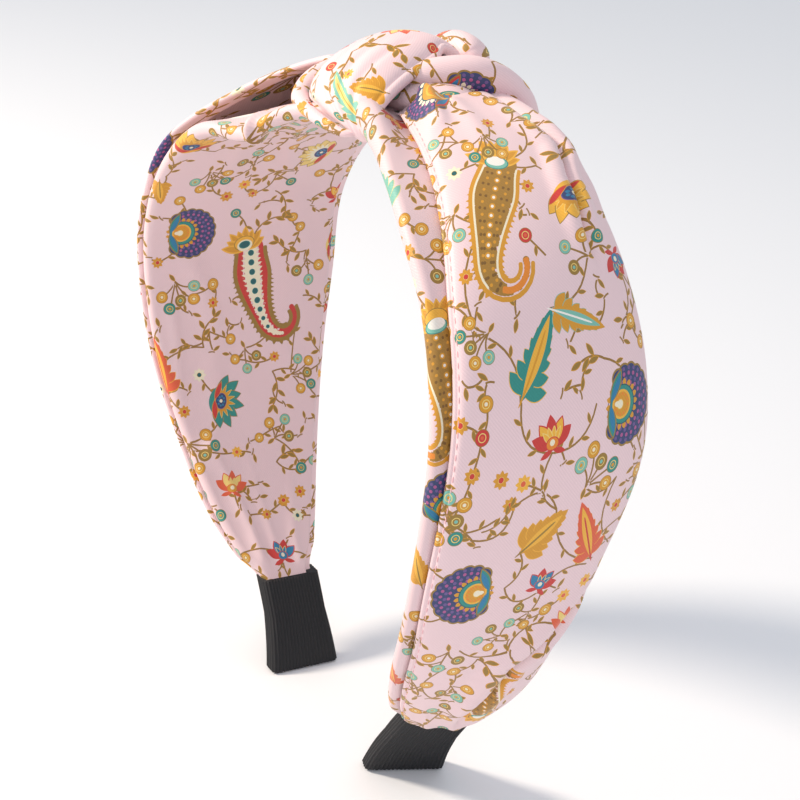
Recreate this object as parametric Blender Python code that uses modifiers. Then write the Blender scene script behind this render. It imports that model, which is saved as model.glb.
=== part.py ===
"""Knotted fabric headband: a wide plastic hoop wrapped in cloth, two soft covers sewn over it, a knot of
folded cloth on the crown and a ribbed end cap on each tip. Metres, +Z up, the tips stand on Z = 0."""

from math import cos, pi, radians, sin

import bmesh
import bpy
import numpy as np

# The arch: the middle of the hoop's thickness, seen from the front. X is across the head, -Y is the front.
CROWN_HEIGHT = 0.1465
WIDEST_HALF_SPAN = 0.065
WIDEST_HEIGHT = 0.0955
TIP_HALF_SPAN = 0.0235
TIP_LEAN = radians(17)
LOWER_SWEEP = 0.0505  # how far below the widest point the side starts to turn in
TIP_STRETCH = 0.0255  # how far the straight stretch above the tip carries

# Places along a leg, as shares of its length from the tip (0) to the crown (1), and the sizes there.
LEG_SHARES = (0.0, 0.13, 0.32, 0.50, 0.70, 0.86, 1.0)
FRONT_EDGE = (0.0054, 0.0058, 0.0175, 0.0250, 0.0240, 0.0160, 0.0105)
REAR_EDGE = (0.0098, 0.0102, 0.0178, 0.0240, 0.0250, 0.0205, 0.0130)
COVER_RISE = (0.0056, 0.0058, 0.0064, 0.0070, 0.0080, 0.0080, 0.0080)
COVER_SPARE = (0.0026, 0.0026, 0.0014, 0.0010, 0.0010, 0.0045, 0.0090)  # cover past the wrap's rear edge

# The right tip is turned a little, its rear edge outward, from this share of the leg down.
TIP_TURN = {-1: radians(0), 1: radians(20)}
TURN_STARTS = 0.36

DEPTH_SHIFT = -0.0022  # sets the whole band so that the origin is in the middle of its depth

GAP = 0.0003  # clear space between two pieces that touch
HOOP_THICKNESS = 0.0016
HOOP_MARGIN = 0.0015  # cloth past each edge of the hoop
HOOP_START = 0.0040  # the hoop's ends stand this far above the floor, inside the end caps
CLOTH_THICKNESS = 0.0008
COVER_THICKNESS = 0.0010
WRAP_TURNOVER = 0.0072  # the wrap comes this far round onto the outer side, along the front edge
COVER_LAP = 0.0050  # the cover's folded edge lies this far back from the front edge
COVER_LAP_SHARE = 0.36  # and no further back than this share of the front half's width

CAP_HEIGHT = 0.0200
CAP_THICKNESS = 0.0046
CAP_WIDTH_TOP = 0.0160
CAP_WIDTH_BOTTOM = 0.0190
POCKET_SPARE = 0.0014  # the cap's pocket is this much bigger than the blade, in width and in depth
CAP_ROUND = 0.0012
COVER_END_HEIGHT = 0.0150  # the covers come down over the caps to here
# The cover's front edge lies on the wrap's strip and, lower down, on the cap.
COVER_SEAT = GAP + COVER_THICKNESS / 2 + max(CAP_THICKNESS / 2, HOOP_THICKNESS / 2 + GAP + CLOTH_THICKNESS)

COVER_STOP_LEFT = 0.0270  # half-span where each cover ends beside the knot
COVER_STOP_RIGHT = 0.0205

THREAD_RADIUS = 0.00028
STITCH_INSET = 0.0016  # the seam's distance from the cover's folded edge
SEAM_FOOT_HEIGHT = 0.0600

FOLD_THICKNESS = 0.0040
KNOT_FRONT = FRONT_EDGE[-1] + 0.0047  # how far in front of the middle the loop comes down
# Routes of the knot's folds: X, Y and the height above the middle of the hoop at the crown.
# The loop comes from the rear of the crown, over the top and down in front of it.
LOOP_ROUTE = (
    (-0.0075, 0.0090, 0.0070),
    (-0.0085, 0.0050, 0.0107),
    (-0.0090, -0.0010, 0.0126),
    (-0.0080, 0.0082 - KNOT_FRONT, 0.0110),
    (-0.0060, 0.0032 - KNOT_FRONT, 0.0072),
    (-0.0040, 0.0004 - KNOT_FRONT, 0.0025),
    (-0.0025, -KNOT_FRONT, -0.0015),
)
LOOP_WIDTHS = (0.0205, 0.0225, 0.0235, 0.0220, 0.0180, 0.0130, 0.0100)
ROLL_ROUTE = (
    (0.0062, -0.0105, 0.0061),
    (0.0082, -0.0030, 0.0082),
    (0.0090, 0.0060, 0.0092),
    (0.0095, 0.0150, 0.0085),
    (0.0098, 0.0230, 0.0060),
    (0.0100, 0.0285, 0.0018),
)
ROLL_RADII = (0.0026, 0.0044, 0.0050, 0.0050, 0.0045, 0.0034)
BACK_FOLD_ROUTE = (
    (0.0020, 0.0175, 0.0105),
    (-0.0040, 0.0182, 0.0100),
    (-0.0100, 0.0180, 0.0085),
    (-0.0155, 0.0165, 0.0062),
)
BACK_FOLD_RADII = (0.0026, 0.0050, 0.0052, 0.0030)

ROWS_ALONG_LEG = 26
HOOP_ROWS_ALONG_LEG = 44  # closer together, so that the blade keeps to its curve inside the cap's pocket
SIDES = {"left": -1, "right": 1}


def clear_scene():
    for thing in list(bpy.data.objects):
        bpy.data.objects.remove(thing, do_unlink=True)


def material(name, colour, roughness, metallic=0.0):
    """A plain finish of one colour."""
    made = bpy.data.materials.new(name)
    made.use_nodes = True
    shader = made.node_tree.nodes["Principled BSDF"]
    shader.inputs["Base Color"].default_value = (*colour, 1.0)
    shader.inputs["Roughness"].default_value = roughness
    shader.inputs["Metallic"].default_value = metallic
    made.diffuse_color = (*colour, 1.0)
    return made


def collection(name):
    made = bpy.data.collections.new(name)
    bpy.context.scene.collection.children.link(made)
    return made


def add_object(name, data, finish, group):
    made = bpy.data.objects.new(name, data)
    data.materials.append(finish)
    group.objects.link(made)
    return made


def add_empty(name, location, group):
    made = bpy.data.objects.new(name, None)
    made.location = location
    group.objects.link(made)
    return made


def arch_outline(count=400):
    """One leg of the arch from its tip to the crown: a Bezier side, then a quarter ellipse over the head."""
    t = np.linspace(0.0, 1.0, count)[:, None]
    tip = np.array([TIP_HALF_SPAN, 0.0])
    lean = tip + TIP_STRETCH * np.array([sin(TIP_LEAN), cos(TIP_LEAN)])
    widest = np.array([WIDEST_HALF_SPAN, WIDEST_HEIGHT])
    below = widest - np.array([0.0, LOWER_SWEEP])
    side = (1 - t) ** 3 * tip + 3 * (1 - t) ** 2 * t * lean + 3 * (1 - t) * t**2 * below + t**3 * widest
    turn = t[1:] * pi / 2
    top = np.hstack(
        [WIDEST_HALF_SPAN * np.cos(turn), WIDEST_HEIGHT + (CROWN_HEIGHT - WIDEST_HEIGHT) * np.sin(turn)]
    )
    return np.vstack([side, top])


OUTLINE = arch_outline()
WALKED = np.concatenate([[0.0], np.cumsum(np.linalg.norm(np.diff(OUTLINE, axis=0), axis=1))])
LEG_LENGTH = WALKED[-1]


def share_at_height(height):
    """The share of the leg at which its lower side reaches a height."""
    return float(np.interp(height, OUTLINE[:, 1], WALKED)) / LEG_LENGTH


def share_at_half_span(half_span):
    """The share of the leg at which its top comes in to a half-span."""
    upper = WALKED >= WALKED[np.argmax(OUTLINE[:, 0])]
    return float(np.interp(-half_span, -OUTLINE[upper, 0], WALKED[upper])) / LEG_LENGTH


def size_at(share, sizes):
    """A size at a share of the leg, on a smooth curve through the sizes given at LEG_SHARES."""
    shares = np.array(LEG_SHARES)
    values = np.array(sizes)
    slopes = np.gradient(values, shares)
    slopes[[0, -1]] = 0.0
    i = int(np.clip(np.searchsorted(shares, share) - 1, 0, len(shares) - 2))
    span = shares[i + 1] - shares[i]
    t = (share - shares[i]) / span
    return (
        (2 * t**3 - 3 * t**2 + 1) * values[i]
        + (t**3 - 2 * t**2 + t) * span * slopes[i]
        + (3 * t**2 - 2 * t**3) * values[i + 1]
        + (t**3 - t**2) * span * slopes[i + 1]
    )


def turned(side, share, y, height):
    """A place across the band after the tip's turn."""
    t = np.clip(1.0 - share / TURN_STARTS, 0.0, 1.0)
    turn = TIP_TURN[side] * t * t * (3 - 2 * t)
    return y * cos(turn) - height * sin(turn), height * cos(turn) + y * sin(turn)


def place(side, share, y, height):
    """The point at a share of a leg, y back from the middle and a height outward from the hoop's middle."""
    y, height = turned(side, share, y, height)
    at = np.clip(share, 0.0, 1.0) * LEG_LENGTH
    step = 0.0004
    here, before, after = (
        np.array([np.interp(np.clip(at + d, 0, LEG_LENGTH), WALKED, OUTLINE[:, k]) for k in (0, 1)])
        for d in (0.0, -step, step)
    )
    run = (after - before) / np.linalg.norm(after - before)
    if share >= 1.0:
        run = np.array([-1.0, 0.0])
    out = np.array([run[1], -run[0]])
    x, z = here + out * height
    return side * x, y, z


def grid_mesh(name, rows):
    """An open surface through rows of points, all of one length."""
    across = len(rows[0])
    faces = [
        (r * across + c, r * across + c + 1, (r + 1) * across + c + 1, (r + 1) * across + c)
        for r in range(len(rows) - 1)
        for c in range(across - 1)
    ]
    mesh = bpy.data.meshes.new(name)
    mesh.from_pydata([point for row in rows for point in row], [], faces)
    mesh.shade_smooth()
    return mesh


def sheet(name, rows, thickness, finish, group, toward=0.0):
    """A shell: an open surface given a thickness, about its middle or to one side of it."""
    made = add_object(name, grid_mesh(name, rows), finish, group)
    wall = made.modifiers.new("wall", "SOLIDIFY")
    wall.thickness = thickness
    wall.offset = toward
    wall.use_even_offset = True
    return made


def whole_arch_shares(first, rows=ROWS_ALONG_LEG):
    """Side and share from the left tip over the crown to the right tip."""
    shares = np.linspace(first, 1.0, rows)
    return [(-1, s) for s in shares[:-1]] + [(1, s) for s in shares[::-1]]


def make_hoop(group):
    """The springy plastic blade that everything else is fixed to. It widens from tip to side."""
    finish = material("hoop_plastic", (0.82, 0.80, 0.76), 0.35)
    rows = []
    for side, share in whole_arch_shares(share_at_height(HOOP_START), HOOP_ROWS_ALONG_LEG):
        front = HOOP_MARGIN - size_at(share, FRONT_EDGE)
        rear = size_at(share, REAR_EDGE) - HOOP_MARGIN
        rows.append([place(side, share, y, 0.0) for y in np.linspace(front, rear, 5)])
    return sheet("hoop_core", rows, HOOP_THICKNESS, finish, group)


def wrap_foot_share():
    """Where the wrap starts, so that its lowest corner on the leaning, turned leg clears the cap."""
    at = share_at_height(CAP_HEIGHT) * LEG_LENGTH
    lean = (np.interp(at + 0.001, WALKED, OUTLINE[:, 0]) - np.interp(at, WALKED, OUTLINE[:, 0])) / 0.001
    turn = max(abs(angle) for angle in TIP_TURN.values())
    reach = HOOP_THICKNESS / 2 + GAP + CLOTH_THICKNESS + size_at(at / LEG_LENGTH, REAR_EDGE) * sin(turn)
    return share_at_height(CAP_HEIGHT + GAP + abs(float(lean)) * reach)


def make_hoop_wrap(group):
    """The cloth glued round the hoop: all of the inner face, round the front edge, and a strip outside."""
    finish = material("wrap_cloth", (0.78, 0.50, 0.50), 0.8)
    depth = HOOP_THICKNESS / 2 + GAP + CLOTH_THICKNESS / 2
    rows = []
    for side, share in whole_arch_shares(wrap_foot_share()):
        front = -size_at(share, FRONT_EDGE)
        rear = size_at(share, REAR_EDGE)
        inner = [(y, -depth) for y in np.linspace(rear, front + depth, 7)]
        turn = [(front + depth - depth * sin(a), -depth * cos(a)) for a in np.linspace(0, pi, 6)[1:-1]]
        strip = min(WRAP_TURNOVER, (rear - front) * 0.55)
        outer = [(y, depth) for y in np.linspace(front + depth, front + strip, 3)]
        rows.append([place(side, share, y, n) for y, n in inner + turn + outer])
    return sheet("hoop_wrap", rows, CLOTH_THICKNESS, finish, group)


def cover_section(share, count=15):
    """The cover across the band: from its folded front edge, up over its crown and down to the rear edge."""
    front = -size_at(share, FRONT_EDGE) + min(COVER_LAP, COVER_LAP_SHARE * size_at(share, FRONT_EDGE))
    rear = size_at(share, REAR_EDGE) + size_at(share, COVER_SPARE)
    rise = size_at(share, COVER_RISE)
    middle = (front + rear) / 2
    half = (rear - front) / 2
    points = []
    for a in np.linspace(0.0, pi, count):
        seat = COVER_SEAT if a < pi / 2 else 0.0
        points.append((middle - half * cos(a), seat + (rise - seat) * sin(a) ** 0.8))
    return points


def make_cover(name, side, group):
    """One leg's soft outer cover, sewn down along the front and turned under at the rear."""
    finish = material(f"{name}_cloth", (0.93, 0.76, 0.76), 0.7)
    stop = share_at_half_span(COVER_STOP_LEFT if side < 0 else COVER_STOP_RIGHT)
    rows = [
        [place(side, share, y, n) for y, n in cover_section(share)]
        for share in np.linspace(share_at_height(COVER_END_HEIGHT), stop, ROWS_ALONG_LEG)
    ]
    return sheet(name, rows, COVER_THICKNESS, finish, group)


def make_seam_thread(name, side, group):
    """The line of stitching that holds the cover's folded front edge down."""
    finish = material(f"{name}_thread", (0.86, 0.66, 0.60), 0.6)
    curve = bpy.data.curves.new(name, "CURVE")
    curve.dimensions = "3D"
    curve.bevel_depth = THREAD_RADIUS
    curve.bevel_resolution = 1
    curve.use_fill_caps = True
    stop = share_at_half_span((COVER_STOP_LEFT if side < 0 else COVER_STOP_RIGHT) + STITCH_INSET)
    points = []
    lift = COVER_THICKNESS / 2 + THREAD_RADIUS + GAP
    for share in np.linspace(share_at_height(SEAM_FOOT_HEIGHT), stop, 2 * ROWS_ALONG_LEG):
        section = np.array(cover_section(share, 61))
        here = int(np.searchsorted(section[:, 0], section[0, 0] + STITCH_INSET))
        run = section[here + 1] - section[here - 1]
        away = np.array([-run[1], run[0]]) / np.linalg.norm(run)
        y, height = section[here] + lift * away
        points.append(place(side, share, y, height))
    spline = curve.splines.new("POLY")
    spline.points.add(len(points) - 1)
    for knot, point in zip(spline.points, points):
        knot.co = (*point, 1.0)
    return add_object(name, curve, finish, group)


def rounded_section(width, thickness, corner, steps=4):
    """The outline of a rounded rectangle, from its rear outer corner round."""
    points = []
    for cx, cy, start in ((1, 1, 0), (-1, 1, 1), (-1, -1, 2), (1, -1, 3)):
        for k in range(steps):
            a = (start + k / (steps - 1)) * pi / 2
            points.append(
                (
                    cx * (width / 2 - corner) + corner * cos(a),
                    cy * (thickness / 2 - corner) + corner * sin(a),
                )
            )
    return points


def loft(name, sections):
    """A closed solid through sections of one point count, with a flat face on each end."""
    mesh = bpy.data.meshes.new(name)
    build = bmesh.new()
    rings = [[build.verts.new(point) for point in section] for section in sections]
    for low, high in zip(rings, rings[1:]):
        for k in range(len(low)):
            build.faces.new((low[k], low[k - 1], high[k - 1], high[k]))
    build.faces.new(rings[0])
    build.faces.new(rings[-1][::-1])
    bmesh.ops.recalc_face_normals(build, faces=build.faces)
    build.to_mesh(mesh)
    build.free()
    return mesh


def level_section(side, height, width, thickness, corner):
    """A rounded rectangle lying level at a height on the lower leg, so that the cap's foot is flat."""
    share = share_at_height(height)
    x = float(np.interp(share * LEG_LENGTH, WALKED, OUTLINE[:, 0]))
    above = float(np.interp(share * LEG_LENGTH + 0.001, WALKED, OUTLINE[:, 0]))
    slant = 1.0 / cos(np.arcsin(np.clip((above - x) / 0.001, -0.9, 0.9)))
    middle = (size_at(share, REAR_EDGE) - size_at(share, FRONT_EDGE)) / 2
    section = [
        turned(side, share, middle + y, n) for y, n in rounded_section(width, thickness, corner)
    ]
    return [(side * (x + n * slant), y, height) for y, n in section]


def blade_foot(side):
    """The height of the lowest corner of the blade's end, on the leaning, turned leg."""
    share = share_at_height(HOOP_START)
    edges = (HOOP_MARGIN - size_at(share, FRONT_EDGE), size_at(share, REAR_EDGE) - HOOP_MARGIN)
    return min(place(side, share, y, n * HOOP_THICKNESS / 2)[2] for y in edges for n in (-1, 1))


def make_end_cap(name, side, group, cutters):
    """The folded ribbed sleeve on a tip: a pocket that takes the hoop's end, closed and flat below."""
    finish = material(f"{name}_rib", (0.012, 0.012, 0.014), 0.75)
    outer, pocket = [], []
    for k in np.linspace(0.0, 1.0, 7):
        height = k * CAP_HEIGHT
        width = CAP_WIDTH_BOTTOM + (CAP_WIDTH_TOP - CAP_WIDTH_BOTTOM) * min(1.0, 1.6 * k)
        outer.append(level_section(side, height, width, CAP_THICKNESS, CAP_ROUND))
    floor = min(HOOP_START - POCKET_SPARE, blade_foot(side) - GAP)
    for height in np.linspace(floor, CAP_HEIGHT + POCKET_SPARE, 16):
        share = share_at_height(height)
        blade = size_at(share, FRONT_EDGE) + size_at(share, REAR_EDGE) - 2 * HOOP_MARGIN
        depth = HOOP_THICKNESS + POCKET_SPARE
        pocket.append(level_section(side, height, blade + POCKET_SPARE, depth, GAP))
    cap = add_object(name, loft(name, outer), finish, group)
    cutter = add_object(f"{name}_pocket", loft(f"{name}_pocket", pocket), finish, cutters)
    cutter.hide_render = True
    cutter.display_type = "WIRE"
    cut = cap.modifiers.new("pocket", "BOOLEAN")
    cut.operation = "DIFFERENCE"
    cut.object = cutter
    return cap


def smooth_route(route, count, above=0.0):
    """A denser route through the given points, on one smooth curve (Catmull-Rom), raised by a height."""
    points = np.array(route, float) + (0.0, 0.0, above)
    padded = np.vstack([2 * points[0] - points[1], points, 2 * points[-1] - points[-2]])
    made = []
    for at in np.linspace(0.0, len(points) - 1.0, count):
        i = min(int(at), len(points) - 2)
        t = at - i
        a, b, c, d = padded[i : i + 4]
        made.append(
            0.5 * (2 * b + (c - a) * t + (2 * a - 5 * b + 4 * c - d) * t**2 + (3 * b - a - 3 * c + d) * t**3)
        )
    return np.array(made)


def make_knot_wrap(group):
    """The left cover's end, pleated into a broad loop that comes from behind over the crown to the front."""
    finish = material("knot_wrap_cloth", (0.94, 0.79, 0.78), 0.7)
    route = smooth_route(LOOP_ROUTE, 22, CROWN_HEIGHT)
    widths = smooth_route([(width, 0.0, 0.0) for width in LOOP_WIDTHS], 22)[:, 0]
    runs = np.gradient(route, axis=0)
    sections = []
    for middle, run, width in zip(route, runs, widths):
        across = np.array([1.0, 0.0, 0.0])
        out = np.cross(across, run / np.linalg.norm(run))
        section = rounded_section(width, FOLD_THICKNESS, FOLD_THICKNESS / 2.2)
        sections.append([tuple(middle + across * a + out * b) for a, b in section])
    return add_object("knot_wrap", loft("knot_wrap", sections), finish, group)


def make_roll(name, route, radii, finish, group):
    """A roll of cloth: a tube on a smooth route, thinner at its ends."""
    curve = bpy.data.curves.new(name, "CURVE")
    curve.dimensions = "3D"
    curve.bevel_depth = 1.0
    curve.bevel_resolution = 3
    curve.use_fill_caps = True
    spline = curve.splines.new("POLY")
    path = smooth_route(route, 18, CROWN_HEIGHT)
    thickness = smooth_route([(radius, 0.0, 0.0) for radius in radii], 18)[:, 0]
    spline.points.add(len(path) - 1)
    for knot, point, radius in zip(spline.points, path, thickness):
        knot.co = (*point, 1.0)
        knot.radius = radius
    return add_object(name, curve, finish, group)


def main():
    clear_scene()
    headband = collection("knotted_headband")
    cutters = collection("cutters")
    cutters.hide_render = True
    make_hoop(headband)
    make_hoop_wrap(headband)
    for word, side in SIDES.items():
        make_cover(f"cover_{word}", side, headband)
        make_seam_thread(f"seam_thread_{word}", side, headband)
        make_end_cap(f"end_cap_{word}", side, headband, cutters)
    make_knot_wrap(headband)
    # The right cover's end, rolled and led under the loop from the front to the rear of the crown.
    roll_cloth = material("knot_roll_cloth", (0.93, 0.75, 0.75), 0.7)
    make_roll("knot_roll", ROLL_ROUTE, ROLL_RADII, roll_cloth, headband)
    # The folded cloth behind the loop, where both covers' ends are tucked together.
    back_cloth = material("knot_back_cloth", (0.92, 0.72, 0.70), 0.7)
    make_roll("knot_back_fold", BACK_FOLD_ROUTE, BACK_FOLD_RADII, back_cloth, headband)
    seat = add_empty("band_seat", (0.0, DEPTH_SHIFT, 0.0), headband)
    for piece in list(headband.objects) + list(cutters.objects):
        if piece is not seat:
            piece.parent = seat


main()
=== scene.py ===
"""Knotted fabric headband: printed satin over a wide hoop, a knot on the crown, ribbed caps on the tips.
Metres, +Z up. Cloth layouts (the flat print) are in millimetres."""

from math import cos, pi, radians, sin

import bpy
import numpy as np
from mathutils import Matrix


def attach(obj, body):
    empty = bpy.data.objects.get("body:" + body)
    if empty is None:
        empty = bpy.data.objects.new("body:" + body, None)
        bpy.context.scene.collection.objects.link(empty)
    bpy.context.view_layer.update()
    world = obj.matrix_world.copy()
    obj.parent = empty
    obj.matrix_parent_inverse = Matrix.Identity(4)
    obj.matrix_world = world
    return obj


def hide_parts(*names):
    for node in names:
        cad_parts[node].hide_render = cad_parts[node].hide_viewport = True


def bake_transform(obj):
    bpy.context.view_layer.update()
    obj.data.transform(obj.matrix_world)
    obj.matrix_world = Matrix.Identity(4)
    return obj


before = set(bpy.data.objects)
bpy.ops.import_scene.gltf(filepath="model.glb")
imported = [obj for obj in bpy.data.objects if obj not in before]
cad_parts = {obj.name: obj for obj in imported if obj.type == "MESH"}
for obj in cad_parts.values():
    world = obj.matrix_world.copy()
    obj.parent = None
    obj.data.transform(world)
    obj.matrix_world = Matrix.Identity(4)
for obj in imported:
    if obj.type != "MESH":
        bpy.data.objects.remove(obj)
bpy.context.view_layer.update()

# ---------------------------------------------------------------------------------------------- camera
# A short telephoto about 40 cm away, above the near leg and to its front, leaned a little.
CAMERA_AZIMUTH = radians(58.0)
CAMERA_ELEVATION = radians(23.6)
CAMERA_ROLL = radians(5.4)
CAMERA_DISTANCE = 0.400
CAMERA_TARGET = np.array([0.0, -0.0022, 0.0763])
LENS_MM = 80.1
LENS_SHIFT = (0.0413, 0.0312)

camera_data = bpy.data.cameras.new("camera")
camera_data.lens = LENS_MM
camera_data.shift_x, camera_data.shift_y = LENS_SHIFT
camera_data.clip_start = 0.01
camera = bpy.data.objects.new("camera", camera_data)
bpy.context.scene.collection.objects.link(camera)
back = np.array(
    [
        sin(CAMERA_AZIMUTH) * cos(CAMERA_ELEVATION),
        -cos(CAMERA_AZIMUTH) * cos(CAMERA_ELEVATION),
        sin(CAMERA_ELEVATION),
    ]
)
level = np.array([cos(CAMERA_AZIMUTH), sin(CAMERA_AZIMUTH), 0.0])
upright = np.cross(back, level)
camera_x = level * cos(CAMERA_ROLL) + upright * sin(CAMERA_ROLL)
camera_y = upright * cos(CAMERA_ROLL) - level * sin(CAMERA_ROLL)
placed = np.eye(4)
placed[:3, 0] = camera_x
placed[:3, 1] = camera_y
placed[:3, 2] = back
placed[:3, 3] = CAMERA_TARGET + back * CAMERA_DISTANCE
camera.matrix_world = Matrix(placed)
bpy.context.scene.camera = camera
bpy.context.scene.view_settings.view_transform = "Standard"


# ------------------------------------------------------------------------------------ floor and lights
# A plain pale floor, a warm-white key light from the front left, a broad soft fill and a pale surround.
def linear(colour):
    """A hex sRGB colour as linear RGBA."""
    channels = [int(colour[i : i + 2], 16) / 255 for i in (0, 2, 4)]
    return (*[c / 12.92 if c <= 0.04045 else ((c + 0.055) / 1.055) ** 2.4 for c in channels], 1.0)


def add_node(tree, kind, links=None, **values):
    """A shader node: links maps an input to the socket it takes, values sets inputs or settings."""
    node = tree.nodes.new(kind)
    for name, value in values.items():
        if hasattr(node, name):
            setattr(node, name, value)
        else:
            node.inputs[name.replace("_", " ")].default_value = value
    for name, socket in (links or {}).items():
        tree.links.new(socket, node.inputs[name])
    return node


def new_material(name):
    """An empty material and its node tree."""
    made = bpy.data.materials.new(name)
    made.use_nodes = True
    made.node_tree.nodes.clear()
    return made, made.node_tree


def add_light(name, size, watts, colour, location, target):
    """A disc light at a place, turned to face its target."""
    data = bpy.data.lights.new(name, "AREA")
    data.shape = "DISK"
    data.size = size
    data.energy = watts
    data.color = linear(colour)[:3]
    light = bpy.data.objects.new(name, data)
    toward = np.array(location) - np.array(target)
    toward = toward / np.linalg.norm(toward)
    side = np.cross((0.0, 0.0, 1.0), toward)
    side = side / np.linalg.norm(side)
    matrix = np.eye(4)
    matrix[:3, 0] = side
    matrix[:3, 1] = np.cross(toward, side)
    matrix[:3, 2] = toward
    matrix[:3, 3] = location
    light.matrix_world = Matrix(matrix)
    bpy.context.scene.collection.objects.link(light)


def mesh_object(name, points, faces, material):
    """A smooth-shaded mesh in the scene, in one material."""
    mesh = bpy.data.meshes.new(name)
    mesh.from_pydata([tuple(p) for p in points], [], faces)
    mesh.materials.append(material)
    mesh.shade_smooth()
    made = bpy.data.objects.new(name, mesh)
    bpy.context.scene.collection.objects.link(made)
    return made


floor_paint, tree = new_material("pale_floor_paint")
shader = add_node(tree, "ShaderNodeBsdfPrincipled", Base_Color=linear("F1F3F7"), Roughness=0.6)
add_node(tree, "ShaderNodeOutputMaterial", {"Surface": shader.outputs[0]})
FLOOR_HALF = 5.0
FLOOR_GAP = 0.0002  # keeps the floor just clear of the caps' feet
floor = mesh_object(
    "floor",
    [(x * FLOOR_HALF, y * FLOOR_HALF, -FLOOR_GAP) for x, y in ((-1, -1), (1, -1), (1, 1), (-1, 1))],
    [(0, 1, 2, 3)],
    floor_paint,
)

world = bpy.data.worlds.new("surround")
world.use_nodes = True
background = world.node_tree.nodes["Background"]
background.inputs["Color"].default_value = linear("EFF2F7")
background.inputs["Strength"].default_value = 0.76
bpy.context.scene.world = world
add_light("key", 0.18, 9.0, "FFF0DC", (-0.42, -0.62, 0.66), (0.0, 0.0, 0.09))
add_light("fill", 0.9, 2.4, "F6F4FF", (1.1, -0.7, 0.9), (0.0, 0.0, 0.08))


# ------------------------------------------------------------------------------------------ hoop blade
# The springy plastic blade inside the cloth: one moulded strip, narrow at the tips and wide at the sides.
# It is hidden by the cloth, and it holds everything else.
CROWN_HEIGHT = 0.1465
WIDEST_HALF_SPAN = 0.065
WIDEST_HEIGHT = 0.0955
TIP_HALF_SPAN = 0.0235
TIP_LEAN = radians(17)
LOWER_SWEEP = 0.0505
TIP_STRETCH = 0.0255
LEG_SHARES = np.array([0.05, 0.13, 0.20, 0.32, 0.42, 0.52, 0.62, 0.70, 0.78, 0.86, 0.93, 1.0])
FRONT_EDGE = {
    -1: np.array([5.4, 8.4, 13.4, 19.4, 23.8, 26.6, 27.8, 27.6, 25.6, 20.8, 15.2, 10.5]) / 1000,
    1: np.array([5.4, 9.2, 15.0, 22.9, 25.8, 26.5, 25.6, 23.6, 21.6, 17.9, 13.6, 10.5]) / 1000,
}
REAR_EDGE = {
    -1: np.array([8.6, 8.9, 12.8, 18.9, 22.5, 24.8, 23.6, 21.4, 19.4, 17.6, 15.4, 13.0]) / 1000,
    1: np.array([9.8, 10.2, 12.4, 14.8, 18.0, 22.4, 23.0, 23.4, 23.4, 22.6, 18.5, 13.0]) / 1000,
}
TIP_TURN = {-1: 0.0, 1: radians(20)}
TURN_STARTS = 0.36
DEPTH_SHIFT = -0.0022
HOOP_THICKNESS = 0.0016
HOOP_MARGIN = 0.0015  # how far the blade's edges stay inside the cloth's
TIP_NARROWING = 0.0038  # taken off each edge of the blade below the share NARROW_BELOW
NARROW_BELOW = 0.11
NARROW_REACH = 0.06
POCKET_SHARE = 0.845  # where the far leg's pocket sags most
BLADE_TRIM = {-1: 0.009, 1: 0.0}  # taken off the front edge behind the pocket
TRIM_REACH = 0.05
SIDES = {"left": -1, "right": 1}

t = np.linspace(0.0, 1.0, 500)[:, None]
tip = np.array([TIP_HALF_SPAN, 0.0])
tip_pull = tip + TIP_STRETCH * np.array([sin(TIP_LEAN), cos(TIP_LEAN)])
widest = np.array([WIDEST_HALF_SPAN, WIDEST_HEIGHT])
below = widest - (0.0, LOWER_SWEEP)
side_curve = (1 - t) ** 3 * tip + 3 * (1 - t) ** 2 * t * tip_pull + 3 * (1 - t) * t**2 * below + t**3 * widest
turn = t[1:] * pi / 2
top_curve = np.hstack(
    [WIDEST_HALF_SPAN * np.cos(turn), WIDEST_HEIGHT + (CROWN_HEIGHT - WIDEST_HEIGHT) * np.sin(turn)]
)
OUTLINE = np.vstack([side_curve, top_curve])
WALKED = np.concatenate([[0.0], np.cumsum(np.linalg.norm(np.diff(OUTLINE, axis=0), axis=1))])
LEG_LENGTH = WALKED[-1]
RUN = np.gradient(OUTLINE, WALKED, axis=0)
RUN[-1] = (-1.0, 0.0)


def smooth(t):
    """A soft step from 0 to 1."""
    t = np.clip(t, 0.0, 1.0)
    return t * t * (3 - 2 * t)


def share_at_height(height):
    """The share of a leg's length, from its tip, at a height."""
    return np.interp(height, OUTLINE[:, 1], WALKED) / LEG_LENGTH


def share_at_half_span(half_span):
    """The share of a leg's length above its widest place, at a distance from the middle."""
    upper = WALKED >= WALKED[np.argmax(OUTLINE[:, 0])]
    return np.interp(-half_span, -OUTLINE[upper, 0], WALKED[upper]) / LEG_LENGTH


def size_at(share, sizes, shares=LEG_SHARES):
    """A size at each share of the leg, on a smooth curve through the sizes given."""
    share = np.asarray(share, float)
    slopes = np.gradient(sizes, shares)
    slopes[[0, -1]] = 0.0
    i = np.clip(np.searchsorted(shares, share) - 1, 0, len(shares) - 2)
    span = shares[i + 1] - shares[i]
    t = np.clip((share - shares[i]) / span, 0.0, 1.0)
    return (
        (2 * t**3 - 3 * t**2 + 1) * sizes[i]
        + (t**3 - 2 * t**2 + t) * span * slopes[i]
        + (3 * t**2 - 2 * t**3) * sizes[i + 1]
        + (t**3 - t**2) * span * slopes[i + 1]
    )


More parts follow.
